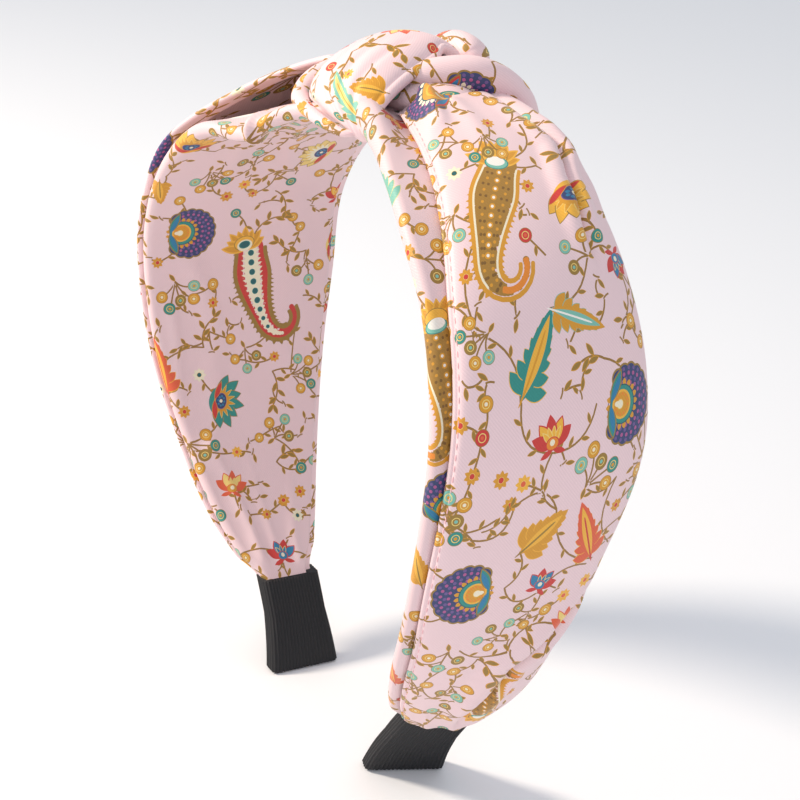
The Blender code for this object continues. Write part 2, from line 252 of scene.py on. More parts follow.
def place(side, share, y, height):
    """Points at shares of a leg, y back from the middle and a height outward from the hoop's middle."""
    share, y, height = np.broadcast_arrays(share, y, height)
    turn = TIP_TURN[side] * smooth(1.0 - share / TURN_STARTS)
    y, height = y * np.cos(turn) - height * np.sin(turn), height * np.cos(turn) + y * np.sin(turn)
    at = np.clip(share, 0.0, 1.0) * LEG_LENGTH
    here = [np.interp(at, WALKED, OUTLINE[:, k]) for k in (0, 1)]
    run = [np.interp(at, WALKED, RUN[:, k]) for k in (0, 1)]
    long = np.hypot(*run)
    x = here[0] + run[1] / long * height
    z = here[1] - run[0] / long * height
    return np.stack([side * x, y + DEPTH_SHIFT, z], axis=-1)


def grid_object(name, points, material, flip=False):
    """A surface through a grid of points, rows by columns."""
    rows, across = points.shape[:2]
    index = np.arange(rows * across).reshape(rows, across)
    corners = [index[:-1, :-1], index[:-1, 1:], index[1:, 1:], index[1:, :-1]]
    if flip:
        corners = corners[::-1]
    faces = np.stack(corners, axis=-1).reshape(-1, 4)
    return mesh_object(name, points.reshape(-1, 3), faces.tolist(), material)


def fix_to_leg(piece):
    """The piece's placement is baked into its mesh; it stays where it is, attached to no leg."""
    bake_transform(piece)


hoop_plastic, tree = new_material("ivory_polypropylene")
shader = add_node(tree, "ShaderNodeBsdfPrincipled", Base_Color=linear("E6E2D8"), Roughness=0.38)
add_node(tree, "ShaderNodeOutputMaterial", {"Surface": shader.outputs[0]})

for word, side in SIDES.items():
    shares = np.linspace(share_at_height(0.004), 1.0, 90)[:, None]
    front = HOOP_MARGIN - size_at(shares, FRONT_EDGE[side])
    rear = size_at(shares, REAR_EDGE[side]) - HOOP_MARGIN
    tip = TIP_NARROWING * (1 - smooth((shares - NARROW_BELOW) / NARROW_REACH))
    front = front + tip + BLADE_TRIM[side] * np.exp(-(((shares - POCKET_SHARE) / TRIM_REACH) ** 2))
    rear = rear - tip
    half = HOOP_THICKNESS / 2
    turns = np.linspace(0.0, pi, 9)[None, :]
    spread = np.linspace(0.0, 1.0, 16)[None, :]
    outer_y = front + (rear - front) * spread
    ys = np.hstack([outer_y, rear + half * np.sin(turns), outer_y[:, ::-1], front - half * np.sin(turns)])
    face = np.full((1, 16), half)
    hs = np.hstack([face, half * np.cos(turns), -face, -half * np.cos(turns)])
    ys = np.hstack([ys, ys[:, :1]])
    hs = np.hstack([hs, hs[:, :1]])
    blade = grid_object(f"hoop_blade_{word}", place(side, shares, ys, hs), hoop_plastic, flip=side > 0)
    fix_to_leg(blade)
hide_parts("hoop_core")


# ------------------------------------------------------------------------------------- printed satin
# The cloth of every soft piece: a pale pink polyester satin with a fine diagonal twill, printed with
# fan flowers, paisleys, serrated leaves and berries. The print is laid out flat, in millimetres, as
# simple shapes; each face of a cloth keeps the few shapes that cross it, and the material draws them.
INK = {
    "gold": "DB9A2B",
    "amber": "F2B53E",
    "straw": "F1D27A",
    "olive": "9C7A33",
    "vine": "9B7436",
    "brown": "7E5A22",
    "bronze": "A87C30",
    "cream": "F3E9CC",
    "white": "FAF4EA",
    "teal": "2F8E84",
    "sea": "7FC0AE",
    "deep": "1F5F63",
    "blue": "2C7FA8",
    "navy": "35416F",
    "violet": "6C5590",
    "mauve": "B0588F",
    "red": "CE3A34",
    "coral": "E2603A",
    "orange": "E88A2C",
}
GROUND = "F0D2D5"
SLOTS = 6  # shapes kept on each face
TWILL_PITCH = 0.00048
WAVE_BAND = 14.1  # a Wave texture's diagonal bands: their pitch is 2 pi over this, at scale 1
FORMS = {"disc": (2.0, 2.0), "leaf": (2.0, 1.0), "bar": (8.0, 2.0)}  # powers of |x| and |y|
STEM_WIDTH = 0.42
CLEARANCE = 0.3  # least cloth left between two motifs
STEM_REACH = 12.0  # a motif further than this from the others has no stem


def disc(x, y, r, fill, edge=None, band=0.3, tall=None):
    """A disc, or an oval when `tall` gives its other half-size, with an edge line of another ink."""
    return ("disc", x, y, 0.0, r, tall or r, fill, edge or fill, 1 - band)


def leaf(x, y, length, width, angle, fill, edge=None, band=0.3):
    """An almond with one point at (x, y), running out at an angle from the layout's x."""
    half = length / 2
    x, y = x + half * cos(angle), y + half * sin(angle)
    return ("leaf", x, y, angle, half, width / 2, fill, edge or fill, 1 - band)


def line(points, width, fill="vine"):
    """A line through points, as bars that overlap a little."""
    made = []
    for (x0, y0), (x1, y1) in zip(points, points[1:]):
        long = np.hypot(x1 - x0, y1 - y0)
        angle = float(np.arctan2(y1 - y0, x1 - x0))
        x, y = (x0 + x1) / 2, (y0 + y1) / 2
        made.append(("bar", x, y, angle, long / 2 + width * 0.4, width / 2, fill, fill, 1.0))
    return made


def curl(x, y, angle, length, bend, steps=9):
    """Points on a stem that starts at (x, y) and turns by `bend` along its length."""
    points = [(x, y)]
    for k in range(steps):
        turn = angle + bend * (k + 0.5) / steps
        x += length / steps * cos(turn)
        y += length / steps * sin(turn)
        points.append((x, y))
    return points


def stamp(motif, x, y, angle=0.0, size=1.0, flip=1):
    """The motif's shapes moved into place: its own +y turned by an angle from the layout's +y."""
    made = []
    c, s = cos(angle), sin(angle)
    for form, px, py, turn, long, wide, fill, edge, band in motif:
        px, py = px * flip * size, py * size
        turn = turn if flip > 0 else pi - turn
        px, py = x + px * c - py * s, y + px * s + py * c
        made.append((form, px, py, turn + angle, long * size, wide * size, fill, edge, band))
    return made


def fan_flower(ring="teal", teeth="gold", base=("blue", "teal")):
    """A scalloped dark fan full of dots, round a toothed ring, a gold disc and a pale heart."""
    spots = [radians(a) for a in range(-40, 221, 20)]
    made = [disc(5.5 * cos(a), 5.5 * sin(a), 1.75, "olive") for a in spots]
    made += [disc(5.4 * cos(a), 5.4 * sin(a), 1.48, "navy") for a in spots]
    made += [disc(0, 0, 5.7, "navy")]
    dots = ((6.2, 26, "violet"), (5.3, 24, "mauve"), (4.4, 20, "violet"), (3.6, 16, "mauve"))
    for radius, count, ink in dots:
        for k in range(count):
            a = 2 * pi * (k + 0.5 * (radius > 5)) / count
            if radius < 6 or sin(a) > -0.6:
                made.append(disc(radius * cos(a), radius * sin(a), 0.36, ink))
    for a in np.arange(0, 2 * pi, pi / 9):
        made.append(leaf(3.0 * cos(a), -1.8 + 3.0 * sin(a), 1.4, 1.0, a, teeth))
    made += [disc(0, -1.8, 3.4, ring, "deep", 0.12), disc(0, -2.0, 2.5, "gold", "amber", 0.3)]
    made += [disc(1.75 * cos(a), -2.0 + 1.75 * sin(a), 0.28, "orange") for a in np.arange(0, 2 * pi, pi / 6)]
    made += [disc(0, -2.4, 0.85, "cream", "straw", 0.3), disc(0, -3.0, 0.5, "cream", tall=0.9)]
    for way in (-1, 1):
        turn = pi / 2 - way * radians(68)
        made.append(leaf(0, -5.2, 6.4, 2.3, turn, base[1], "olive", 0.25))
        made.append(leaf(0, -5.0, 5.4, 1.2, turn, base[0]))
    return made


def drop_route():
    """Spine points, ways and half-widths of a paisley: a round head, a fuller body and a thin tail
    that curls up."""
    made = []
    x, y, turn = 1.4, 9.5, radians(-104)
    for k in range(56):
        t = k / 55
        width = 3.0 + 1.1 * smooth(t / 0.24)
        width = width - 2.6 * smooth((t - 0.12) / 0.5) - 1.1 * smooth((t - 0.58) / 0.3)
        made.append((x, y, turn, width))
        turn += 0.012 + 0.150 * smooth((t - 0.5) / 0.22)
        x += 0.62 * cos(turn)
        y += 0.62 * sin(turn)
    return made


def outline(route, spread, width, ink):
    """A line round a paisley, outside its half-widths by `spread`."""
    made = []
    for way in (-1, 1):
        points = []
        for x, y, turn, r in route[::2]:
            points.append((x - way * (r + spread) * sin(turn), y + way * (r + spread) * cos(turn)))
        made += line(points, width, ink)
    return made


def paisley_crown():
    """The leaves that stand on a paisley's head, and the oval in front of them."""
    made = []
    for k in range(8):
        made.append(leaf(0, 9.5, 5.8 + 0.8 * (k % 2), 2.3, radians(20 + 20 * k), "gold", "amber", 0.35))
    return made + [disc(0, 11.4, 2.7, "amber", "olive", 0.15, tall=1.9)]


def gold_paisley():
    """A dotted bronze paisley in a cream and a gold line."""
    route = drop_route()
    made = []
    for x, y, turn, r in route[:40:2]:
        made += [leaf(x, y, r + 1.9, 1.3, turn + way * 1.25, "gold") for way in (-1, 1)]
    made += [disc(x, y, r + 0.3, "bronze") for x, y, turn, r in route]
    made += outline(route, 0.9, 0.85, "gold") + outline(route[:40], 0.3, 0.42, "cream")
    made += line([(x, y) for x, y, turn, r in route[42:]], 1.15, "orange")
    for k, (x, y, turn, r) in enumerate(route[2:42:2]):
        spots = (-0.72, -0.42, 0.42, 0.72) if k % 2 else (-0.58, 0.58)
        spots = [(s * r, 0.30, ("gold", "brown")[k % 2]) for s in spots]
        made += [disc(x - s * sin(turn), y + s * cos(turn), size, ink) for s, size, ink in spots]
    for x, y, turn, r in route[3:32:3]:
        made += [disc(x, y, 0.62, "gold"), disc(x, y, 0.3, "white")]
    made += paisley_crown()
    return made + [disc(0.4, 9.9, 2.5, "sea", "teal", 0.2, tall=1.5), disc(0.2, 10.3, 1.9, "white", tall=1.1)]


def red_paisley():
    """A red paisley with a feathered cream middle and a row of dark seeds."""
    route = drop_route()
    made = []
    for x, y, turn, r in route[:44:2]:
        made += [leaf(x, y, r + 2.0, 1.3, turn + way * 1.25, "olive") for way in (-1, 1)]
    made += [disc(x, y, r + 0.3, "red") for x, y, turn, r in route]
    made += outline(route, 0.75, 1.05, "olive")
    for x, y, turn, r in route[:40:2]:
        made += [leaf(x, y, r * 0.8, 0.8, turn + way * 1.9, "cream") for way in (-1, 1)]
    made += [disc(x, y, r * 0.5, "cream") for x, y, turn, r in route[:42]]
    made += [disc(x, y, min(0.8, 0.34 * r), "deep", "teal", 0.35) for x, y, turn, r in route[2:36:4]]
    made += paisley_crown()
    return made + [disc(0, 10.8, 2.0, "cream", tall=1.5), disc(0, 11.0, 1.5, "deep", "teal", 0.3, tall=1.0)]


def toothed_leaf(outer="teal", inner="amber", rib="gold", long=13.0):
    """A long leaf with a row of pointed teeth on each side of a paler middle."""
    made = []
    for k in range(6):
        t = k / 5
        reach = 4.3 * (1 - 0.62 * t)
        for way in (-1, 1):
            turn = radians(90 - way * (62 - 22 * t))
            made.append(leaf(0, 1.0 + long * 0.75 * t, reach, 2.3 - 0.8 * t, turn, outer, inner, 0.12))
    made.append(leaf(0, 0, long + 1.0, 3.6, pi / 2, outer))
    made.append(leaf(0, 0.4, long - 0.6, 1.9, pi / 2, inner))
    made += line([(0, -0.6), (0, long * 0.8)], 0.35, rib)
    return made


def flame_flower(petals=("red", "amber"), heart="orange", long=5.6, count=5):
    """A small pomegranate or tulip: pointed petals that open from a round base."""
    made = []
    for k in range(count):
        a = radians(90 + (k - (count - 1) / 2) * 150 / count)
        reach = long - 0.25 * abs(k - (count - 1) / 2)
        made.append(leaf(0, 0, reach, 2.5, a, petals[k % 2], petals[0], 0.22))
    for k in range(count - 1):
        a = radians(90 + (k - (count - 2) / 2) * 120 / count)
        made.append(leaf(0, 0.3, long * 0.62, 1.1, a, petals[1], "straw", 0.3))
    made += [disc(0, 0.6, 1.5, heart, petals[0], 0.25, tall=1.2), disc(0, 0.8, 0.55, "cream")]
    made += [leaf(0, -0.4, 3.0, 1.1, radians(a), petals[0]) for a in (200, -20)]
    return made


def crown_flower(outer="teal", band="gold", count=7, long=7.4):
    """A wide flower of jagged petals round a banded, dotted heart."""
    made = []
    for k in range(count):
        a = radians(90 + (k - (count - 1) / 2) * 170 / count)
        made.append(leaf(0, 0, long + 0.8 * (k % 2), 3.2, a, outer, "olive", 0.12))
    made.append(disc(0, 1.6, long * 0.58, outer, tall=long * 0.48))
    for k in range(count + 2):
        a = radians(90 + (k - (count + 1) / 2) * 175 / count)
        made.append(leaf(0, 1.0, 4.6, 1.0, a, band, "straw", 0.2))
    made += [disc(0, 1.5, 2.7, band, tall=2.2), disc(0, 1.3, 2.1, "navy", "violet", 0.15, tall=1.6)]
    made += [disc(1.2 * cos(a), 1.3 + 0.9 * sin(a), 0.3, "blue") for a in np.arange(0, 2 * pi, pi / 4)]
    made += [disc(0, 1.2, 0.45, "cream")]
    made += [leaf(0, -0.6, 5.2, 1.5, radians(a), "red", "gold", 0.15) for a in (168, 12)]
    return made


def star(ink="gold", heart="red"):
    """A tiny flower of eight petals."""
    made = [leaf(0, 0, 1.75, 0.95, a, ink) for a in np.arange(0, 2 * pi, pi / 4)]
    return made + [disc(0, 0, 0.62, heart, "straw", 0.25)]


def berry(ink="gold", heart="cream"):
    """A ringed round berry."""
    rings = [disc(0, 0, 1.55, ink, "olive", 0.16), disc(0, 0, 0.85, "straw")]
    return rings + [disc(0, 0, 0.68, ink), disc(0, 0, 0.36, heart)]


def sprig(long=9.0, bend=1.2, nodes=(2, 3, 5, 7, 9)):
    """A thin curved stem with almond leaves at some of its points, first one side and then the other."""
    points = curl(0, 0, pi / 2 - bend / 2, long, bend)
    made = line(points, STEM_WIDTH)
    for k, node in enumerate(nodes):
        a = pi / 2 - bend / 2 + bend * k / len(nodes)
        way = 1 if k % 2 else -1
        made.append(leaf(*points[node], 2.9, 1.15, a + way * 0.75, "olive", "gold", 0.25))
    made.append(leaf(*points[-1], 2.9, 1.2, pi / 2 + bend / 2, "olive", "gold", 0.25))
    return made


def berry_spray(inks=("gold", "teal", "olive", "gold", "sea"), spread=2.0, long=7.0):
    """Berries on curved stems that fan out from one point."""
    made = []
    hearts = {"gold": "cream", "olive": "sea"}
    for k, ink in enumerate(inks):
        across = k / (len(inks) - 1) - 0.5
        way = radians(90) + 0.55 * spread * across
        stem = curl(0, 0, way, long * (0.75 + 0.25 * (k % 2)), 1.9 * across + 0.25)
        made += line(stem, STEM_WIDTH)
        made += stamp(berry(ink, hearts.get(ink, "gold")), *stem[-1])
    made.append(leaf(0, 0, 2.6, 1.1, radians(-60), "olive", "gold"))
    return made


def tiny_leaf():
    """One leaf on a short stalk."""
    stalk = line(curl(0, -1.2, pi / 2, 1.6, 0.6), 0.36)
    return stalk + [leaf(0, 0, 2.6, 1.0, radians(75), "olive", "gold", 0.25)]


def vine(x0, y0, x1, y1, bow):
    """A stem between two places, bowed to one side by a share of its length."""
    mx = (x0 + x1) / 2 - (y1 - y0) * bow
    my = (y0 + y1) / 2 + (x1 - x0) * bow
    t = np.linspace(0.0, 1.0, 9)
    xs = (1 - t) ** 2 * x0 + 2 * t * (1 - t) * mx + t**2 * x1
    ys = (1 - t) ** 2 * y0 + 2 * t * (1 - t) * my + t**2 * y1
    made = line(list(zip(xs, ys)), STEM_WIDTH)
    long = np.hypot(x1 - x0, y1 - y0)
    for k in (2, 4, 6) if long > 6 else (4,) if long > 3.5 else ():
        way = np.arctan2(ys[k + 1] - ys[k], xs[k + 1] - xs[k]) + (0.8 if k % 4 else -0.8)
        made.append(leaf(xs[k], ys[k], 2.2, 0.85, way, "olive", "gold", 0.25))
    return made


# Each motif: how its shapes are made, and the circles (x, y, radius) of cloth that it fills.
PAISLEY_ROOM = ((0, 11, 6.5), (0, 4, 5.0), (0.3, -3, 4.5), (3, -10, 4.5), (9, -12, 4), (12, -7, 3))
FAN_ROOM = ((0, 0, 8.4), (0, -5, 4.5))
LEAF_ROOM = ((0, 2, 4), (0, 7, 4), (0, 12, 3))
SHORT_LEAF_ROOM = ((0, 2, 3.4), (0, 7, 3.4))
CROWN_ROOM = ((0, 2, 6), (0, 5, 4.5))
STAR_ROOM = ((0, 0, 2.2),)
BERRY_ROOM = ((0, 0, 2.0),)
MOTIFS = {
    "fan": (fan_flower, {}, FAN_ROOM),
    "gold fan": (fan_flower, {"ring": "gold", "teeth": "cream", "base": ("blue", "red")}, FAN_ROOM),
    "gold paisley": (gold_paisley, {}, PAISLEY_ROOM),
    "red paisley": (red_paisley, {}, PAISLEY_ROOM),
    "teal leaf": (toothed_leaf, {}, LEAF_ROOM),
    "gold leaf": (toothed_leaf, {"outer": "gold", "inner": "sea", "rib": "white"}, LEAF_ROOM),
    "sea leaf": (toothed_leaf, {"outer": "sea", "inner": "straw"}, LEAF_ROOM),
    "red leaf": (toothed_leaf, {"outer": "coral", "inner": "amber", "rib": "red"}, LEAF_ROOM),
    "plain leaf": (toothed_leaf, {"outer": "gold", "rib": "olive", "long": 9.0}, SHORT_LEAF_ROOM),
    "red flower": (flame_flower, {}, ((0, 1.5, 4.6),)),
    "amber flower": (flame_flower, {"petals": ("coral", "straw"), "heart": "gold"}, ((0, 1.5, 4.6),)),
    "blue tulip": (
        flame_flower,
        {"petals": ("red", "blue"), "heart": "blue", "long": 5.0, "count": 4},
        ((0, 1.5, 4.4),),
    ),
    "teal crown": (crown_flower, {}, ((0, 2, 6.5), (0, 6, 5))),
    "gold crown": (crown_flower, {"outer": "amber", "long": 6.6}, CROWN_ROOM),
    "cream crown": (crown_flower, {"outer": "straw", "band": "cream", "count": 9, "long": 6.6}, CROWN_ROOM),
    "spray": (berry_spray, {}, ((0, 4, 5.6),)),
    "small spray": (
        berry_spray,
        {"inks": ("gold", "sea", "olive"), "spread": 1.5, "long": 6.0},
        ((0, 3.5, 4.2),),
    ),
    "sprig": (sprig, {}, ((0, 4.5, 3.8),)),
    "short sprig": (sprig, {"long": 5.5, "bend": -0.9, "nodes": (2, 4, 6)}, ((0, 3.0, 2.8),)),
    "tiny leaf": (tiny_leaf, {}, ((0, 1.2, 1.2),)),
    "star": (star, {}, STAR_ROOM),
    "red star": (star, {"ink": "amber", "heart": "coral"}, STAR_ROOM),
    "cream star": (star, {"ink": "cream", "heart": "deep"}, STAR_ROOM),
    "berry": (berry, {}, BERRY_ROOM),
    "teal berry": (berry, {"ink": "teal", "heart": "gold"}, BERRY_ROOM),
    "red berry": (berry, {"ink": "red", "heart": "coral"}, BERRY_ROOM),
}
SMALL = ("star", "berry", "red star", "short sprig", "teal berry", "berry", "star", "cream star", "red berry")
FILLING = (  # tries, and the motifs to pick from
    (160, ("spray", "small spray", "spray")),
    (260, ("sprig", "short sprig", "small spray", "sprig")),
    (420, SMALL),
    (700, ("tiny leaf",)),
)


def room_of(name, x, y, angle, size=1.0, flip=1):
    """The circles of cloth that a motif fills, once it is in place."""
    c, s = cos(angle), sin(angle)
    for px, py, r in MOTIFS[name][2]:
        px, py = px * flip * size, py * size
        yield x + px * c - py * s, y + px * s + py * c, r * size


def motif_at(name, x, y, angle, size=1.0, flip=1):
    """The shapes of a motif, in place."""
    make, options, _ = MOTIFS[name]
    return stamp(make(**options), x, y, angle, size, flip)


def print_layout(chosen, low, high, seed, vines=()):
    """The print of one piece of cloth: the chosen motifs (name, x, y, degrees, size, flip), small ones
    wherever room is left between `low` and `high`, and stems that join each to its nearest neighbour."""
    chance = np.random.default_rng(seed)
    stems, shapes, spots = [], [], []
    for route in vines:
        stems += vine(*route)
    for name, x, y, degrees, *rest in chosen:
        shapes += motif_at(name, x, y, radians(degrees), *rest)
        spots += room_of(name, x, y, radians(degrees), *rest)
    for tries, names in FILLING:
        for _ in range(tries):
            x, y = chance.uniform(low, high)
            name = names[int(chance.integers(len(names)))]
            angle = chance.uniform(-pi, pi)
            size = chance.uniform(0.85, 1.05)
            flip = 1 if chance.uniform() < 0.5 else -1
            mine = list(room_of(name, x, y, angle, size, flip))
            if any(np.hypot(a - c, b - d) < r + q + CLEARANCE for a, b, r in mine for c, d, q in spots):
                continue
            gaps = [np.hypot(x - c, y - d) - q for c, d, q in spots]
            nearest = int(np.argmin(gaps))
            if gaps[nearest] < STEM_REACH:
                stems += vine(x, y, *spots[nearest][:2], chance.uniform(-0.45, 0.45))
            shapes = motif_at(name, x, y, angle, size, flip) + shapes
            spots += mine
    return stems + shapes


def corner_places(layout, shape):
    """Distances of the layout's points from the middle of one shape, along it and across it."""
    x, y, turn = shape[1:4]
    dx, dy = layout[..., 0] - x, layout[..., 1] - y
    c, s = cos(turn), sin(turn)
    return dx * c + dy * s, dy * c - dx * s


def paint(piece, layout, shapes, flip=False):
    """Keeps on each face of a grid piece the top few shapes of the print that cross it.
    layout holds the flat place of each vertex in millimetres, rows by columns by 2."""
    rows, across = layout.shape[:2]
    cells = [layout[:-1, :-1], layout[:-1, 1:], layout[1:, 1:], layout[1:, :-1]]
    if flip:
        cells = cells[::-1]
    cells = np.stack(cells, axis=2)
    low, high = cells[..., 1].min(axis=(1, 2)), cells[..., 1].max(axis=(1, 2))
    left, right = cells[..., 0].min(axis=2), cells[..., 0].max(axis=2)
    kept = np.full((rows - 1, across - 1, SLOTS), -1, np.int32)
    spare = 0.25 * float(np.median(np.linalg.norm(cells[:, :, 0] - cells[:, :, 2], axis=-1)))
    for number, shape in enumerate(shapes):
        reach = max(shape[4], shape[5]) + 0.4
        band = np.nonzero((low < shape[2] + reach) & (high > shape[2] - reach))[0]
        if not len(band):
            continue
        r0, r1 = band[0], band[-1] + 1
        beside = (left[r0:r1] < shape[1] + reach) & (right[r0:r1] > shape[1] - reach)
        near = np.nonzero(beside.any(axis=0))[0]
        if not len(near):
            continue
        c0, c1 = near[0], near[-1] + 1
        block = cells[r0:r1, c0:c1]
        along, off = corner_places(block, shape)
        p, q = FORMS[shape[0]]
        long, wide = shape[4] + spare, shape[5] + spare
        grown = (np.abs(along) / long) ** p + (np.abs(off) / wide) ** q
        middle = (np.abs(along.mean(-1)) / long) ** p + (np.abs(off.mean(-1)) / wide) ** q
        touched = (grown < 1).any(axis=-1) | (middle < 1)
        exact = (np.abs(along) / shape[4]) ** p + (np.abs(off) / shape[5]) ** q
        whole = (exact < 0.98).all(axis=-1)
        part = kept[r0:r1, c0:c1]
        part[whole] = -1
        full = touched & (part[..., -1] >= 0)
        part[full] = np.roll(part[full], -1, axis=-1)
        part[full, -1] = -1
        free = (part >= 0).sum(axis=-1)
        rr, cc = np.nonzero(touched)
        part[rr, cc, free[rr, cc]] = number
    mesh = piece.data
    corners = cells.reshape(-1, 4, 2)
    kept = kept.reshape(-1, SLOTS)
    table = {name: np.array(linear(ink)) for name, ink in INK.items()}
    numbers = np.array([[s[1], s[2], cos(s[3]), sin(s[3]), s[4], s[5], *FORMS[s[0]], s[8]] for s in shapes])
    fills = np.array([table[s[6]] for s in shapes])
    edges = np.array([table[s[7]] for s in shapes])
    for k in range(SLOTS):
        used = kept[:, k] >= 0
        chosen = numbers[np.where(used, kept[:, k], 0)]
        delta = corners - chosen[:, None, 0:2]
        along = (delta[..., 0] * chosen[:, None, 2] + delta[..., 1] * chosen[:, None, 3]) / chosen[:, None, 4]
        off = (delta[..., 1] * chosen[:, None, 2] - delta[..., 0] * chosen[:, None, 3]) / chosen[:, None, 5]
        power = np.broadcast_to(chosen[:, None, 7], along.shape)
        place_of = np.stack([along, off, power], axis=-1)
        place_of[~used] = (9.0, 9.0, 2.0)
        fill = fills[np.where(used, kept[:, k], 0)].copy()
        edge = edges[np.where(used, kept[:, k], 0)].copy()
        fill[:, 3] = chosen[:, 8]
        edge[:, 3] = chosen[:, 6]
        for name, kind, domain, values in (
            (f"place_{k}", "FLOAT_VECTOR", "CORNER", place_of.reshape(-1, 3)),
            (f"fill_{k}", "FLOAT_COLOR", "FACE", fill),
            (f"edge_{k}", "FLOAT_COLOR", "FACE", edge),
        ):
            attribute = mesh.attributes.new(name, kind, domain)
            field = "vector" if kind == "FLOAT_VECTOR" else "color"
            attribute.data.foreach_set(field, values.astype(np.float32).ravel())
    metres = corners * 0.001
    mesh.uv_layers.new(name="cloth").data.foreach_set("uv", metres.astype(np.float32).ravel())
    rr, cc = np.meshgrid(np.linspace(0.004, 0.996, rows), np.linspace(0.004, 0.996, across), indexing="ij")
    flat = np.stack([cc, rr], axis=-1)
    square = [flat[:-1, :-1], flat[:-1, 1:], flat[1:, 1:], flat[1:, :-1]]
    if flip:
        square = square[::-1]
    bake = np.stack(square, axis=2).astype(np.float32)
    mesh.uv_layers.new(name="OFBake").data.foreach_set("uv", bake.ravel())


def shape_group():
    """One printed shape over a colour: |x|^p + |y|^q is under 1 inside it, and near 1 in its edge line."""
    group = bpy.data.node_groups.new("printed_shape", "ShaderNodeTree")
    names = ("Under", "Place", "Fill", "Band", "Edge", "Power")
    for name, kind in zip(names, ("Color", "Vector", "Color", "Float", "Color", "Float")):
        group.interface.new_socket(name, in_out="INPUT", socket_type=f"NodeSocket{kind}")
    group.interface.new_socket("Over", in_out="OUTPUT", socket_type="NodeSocketColor")
    given = group.nodes.new("NodeGroupInput").outputs
    split = add_node(group, "ShaderNodeSeparateXYZ", {"Vector": given["Place"]})
    terms = []
    for axis, power in (("X", given["Power"]), ("Y", split.outputs["Z"])):
        size = add_node(group, "ShaderNodeMath", {0: split.outputs[axis]}, operation="ABSOLUTE")
        raised = add_node(group, "ShaderNodeMath", {0: size.outputs[0], 1: power}, operation="POWER")
        terms.append(raised.outputs[0])
    total = add_node(group, "ShaderNodeMath", {0: terms[0], 1: terms[1]}, operation="ADD")
    inside = add_node(group, "ShaderNodeMath", {0: total.outputs[0]}, operation="LESS_THAN")
    inside.inputs[1].default_value = 1.0
    reach = {0: total.outputs[0], 1: given["Band"]}
    outer = add_node(group, "ShaderNodeMath", reach, operation="GREATER_THAN")
    inks = {0: outer.outputs[0], 6: given["Fill"], 7: given["Edge"]}
    ink = add_node(group, "ShaderNodeMix", inks, data_type="RGBA")
    layers = {0: inside.outputs[0], 6: given["Under"], 7: ink.outputs[2]}
    over = add_node(group, "ShaderNodeMix", layers, data_type="RGBA")
    out = group.nodes.new("NodeGroupOutput")
    group.links.new(over.outputs[2], out.inputs["Over"])
    return group


def satin_material(name, depth=1.0):
    """Printed polyester satin: a soft sheen, a fine diagonal twill, all its tones times `depth`, which below
    1 paints shade into the cloth's colour.
    """
    made, tree = new_material(name)
    colour = add_node(tree, "ShaderNodeRGB")
    colour.outputs[0].default_value = linear(GROUND)
    colour = colour.outputs[0]
    for k in range(SLOTS):
        names = [f"{word}_{k}" for word in ("place", "fill", "edge")]
        place_of, fill, edge = [add_node(tree, "ShaderNodeAttribute", attribute_name=name) for name in names]
        shape = tree.nodes.new("ShaderNodeGroup")
        shape.node_tree = PRINTED_SHAPE
        for socket, source in (
            ("Under", colour),
            ("Place", place_of.outputs["Vector"]),
            ("Fill", fill.outputs["Color"]),
            ("Band", fill.outputs["Alpha"]),
            ("Edge", edge.outputs["Color"]),
            ("Power", edge.outputs["Alpha"]),
        ):
            tree.links.new(source, shape.inputs[socket])
        colour = shape.outputs[0]
    cloth = add_node(tree, "ShaderNodeUVMap", uv_map="cloth")
    scale = 2 * pi / (WAVE_BAND * TWILL_PITCH)
    twill = add_node(tree, "ShaderNodeTexWave", {"Vector": cloth.outputs[0]}, Scale=scale, Distortion=0.6)
    twill.bands_direction = "DIAGONAL"
    slub = add_node(tree, "ShaderNodeTexNoise", {"Vector": cloth.outputs[0]}, Scale=2600.0, Detail=1.0)
    threads = {0: twill.outputs["Fac"], 1: slub.outputs["Fac"]}
    grain = add_node(tree, "ShaderNodeMath", threads, operation="MULTIPLY")
    shade = add_node(tree, "ShaderNodeMapRange", {"Value": grain.outputs[0]})
    # depth darkens every tone of the cloth; below 1 this is painted shade.
    shade.inputs["To Min"].default_value = 0.94 * depth
    shade.inputs["To Max"].default_value = 1.05 * depth
    toned = add_node(tree, "ShaderNodeVectorMath", {0: colour, "Scale": shade.outputs[0]}, operation="SCALE")
    bump = add_node(tree, "ShaderNodeBump", {"Height": grain.outputs[0]}, Strength=0.35, Distance=0.0001)
    shader = add_node(
        tree,
        "ShaderNodeBsdfPrincipled",
        {"Base Color": toned.outputs[0], "Normal": bump.outputs[0]},
        Roughness=0.52,
        Sheen_Weight=0.12,
        Sheen_Roughness=0.4,
    )
    add_node(tree, "ShaderNodeOutputMaterial", {"Surface": shader.outputs[0]})
    return made


PRINTED_SHAPE = shape_group()
SATIN = satin_material("printed_satin")
# The wrap's copy of the satin is painted a tenth darker: painted shade for the lining inside the hoop, which
# lies in shade.
SATIN_WRAP_SHADED = satin_material("printed_satin_wrap_painted_shade", 0.90)


def row_arc(points):
    """Distance across each row of a grid, in millimetres."""
    steps = np.linalg.norm(np.diff(points, axis=1), axis=-1) * 1000
    return np.concatenate([np.zeros((len(points), 1)), np.cumsum(steps, axis=1)], axis=1)


def normals_of(points):
    """Unit normals of a grid of points."""
    along = np.gradient(points, axis=0)
    over = np.gradient(points, axis=1)
    normal = np.cross(over, along)
    return normal / np.maximum(np.linalg.norm(normal, axis=-1, keepdims=True), 1e-12)


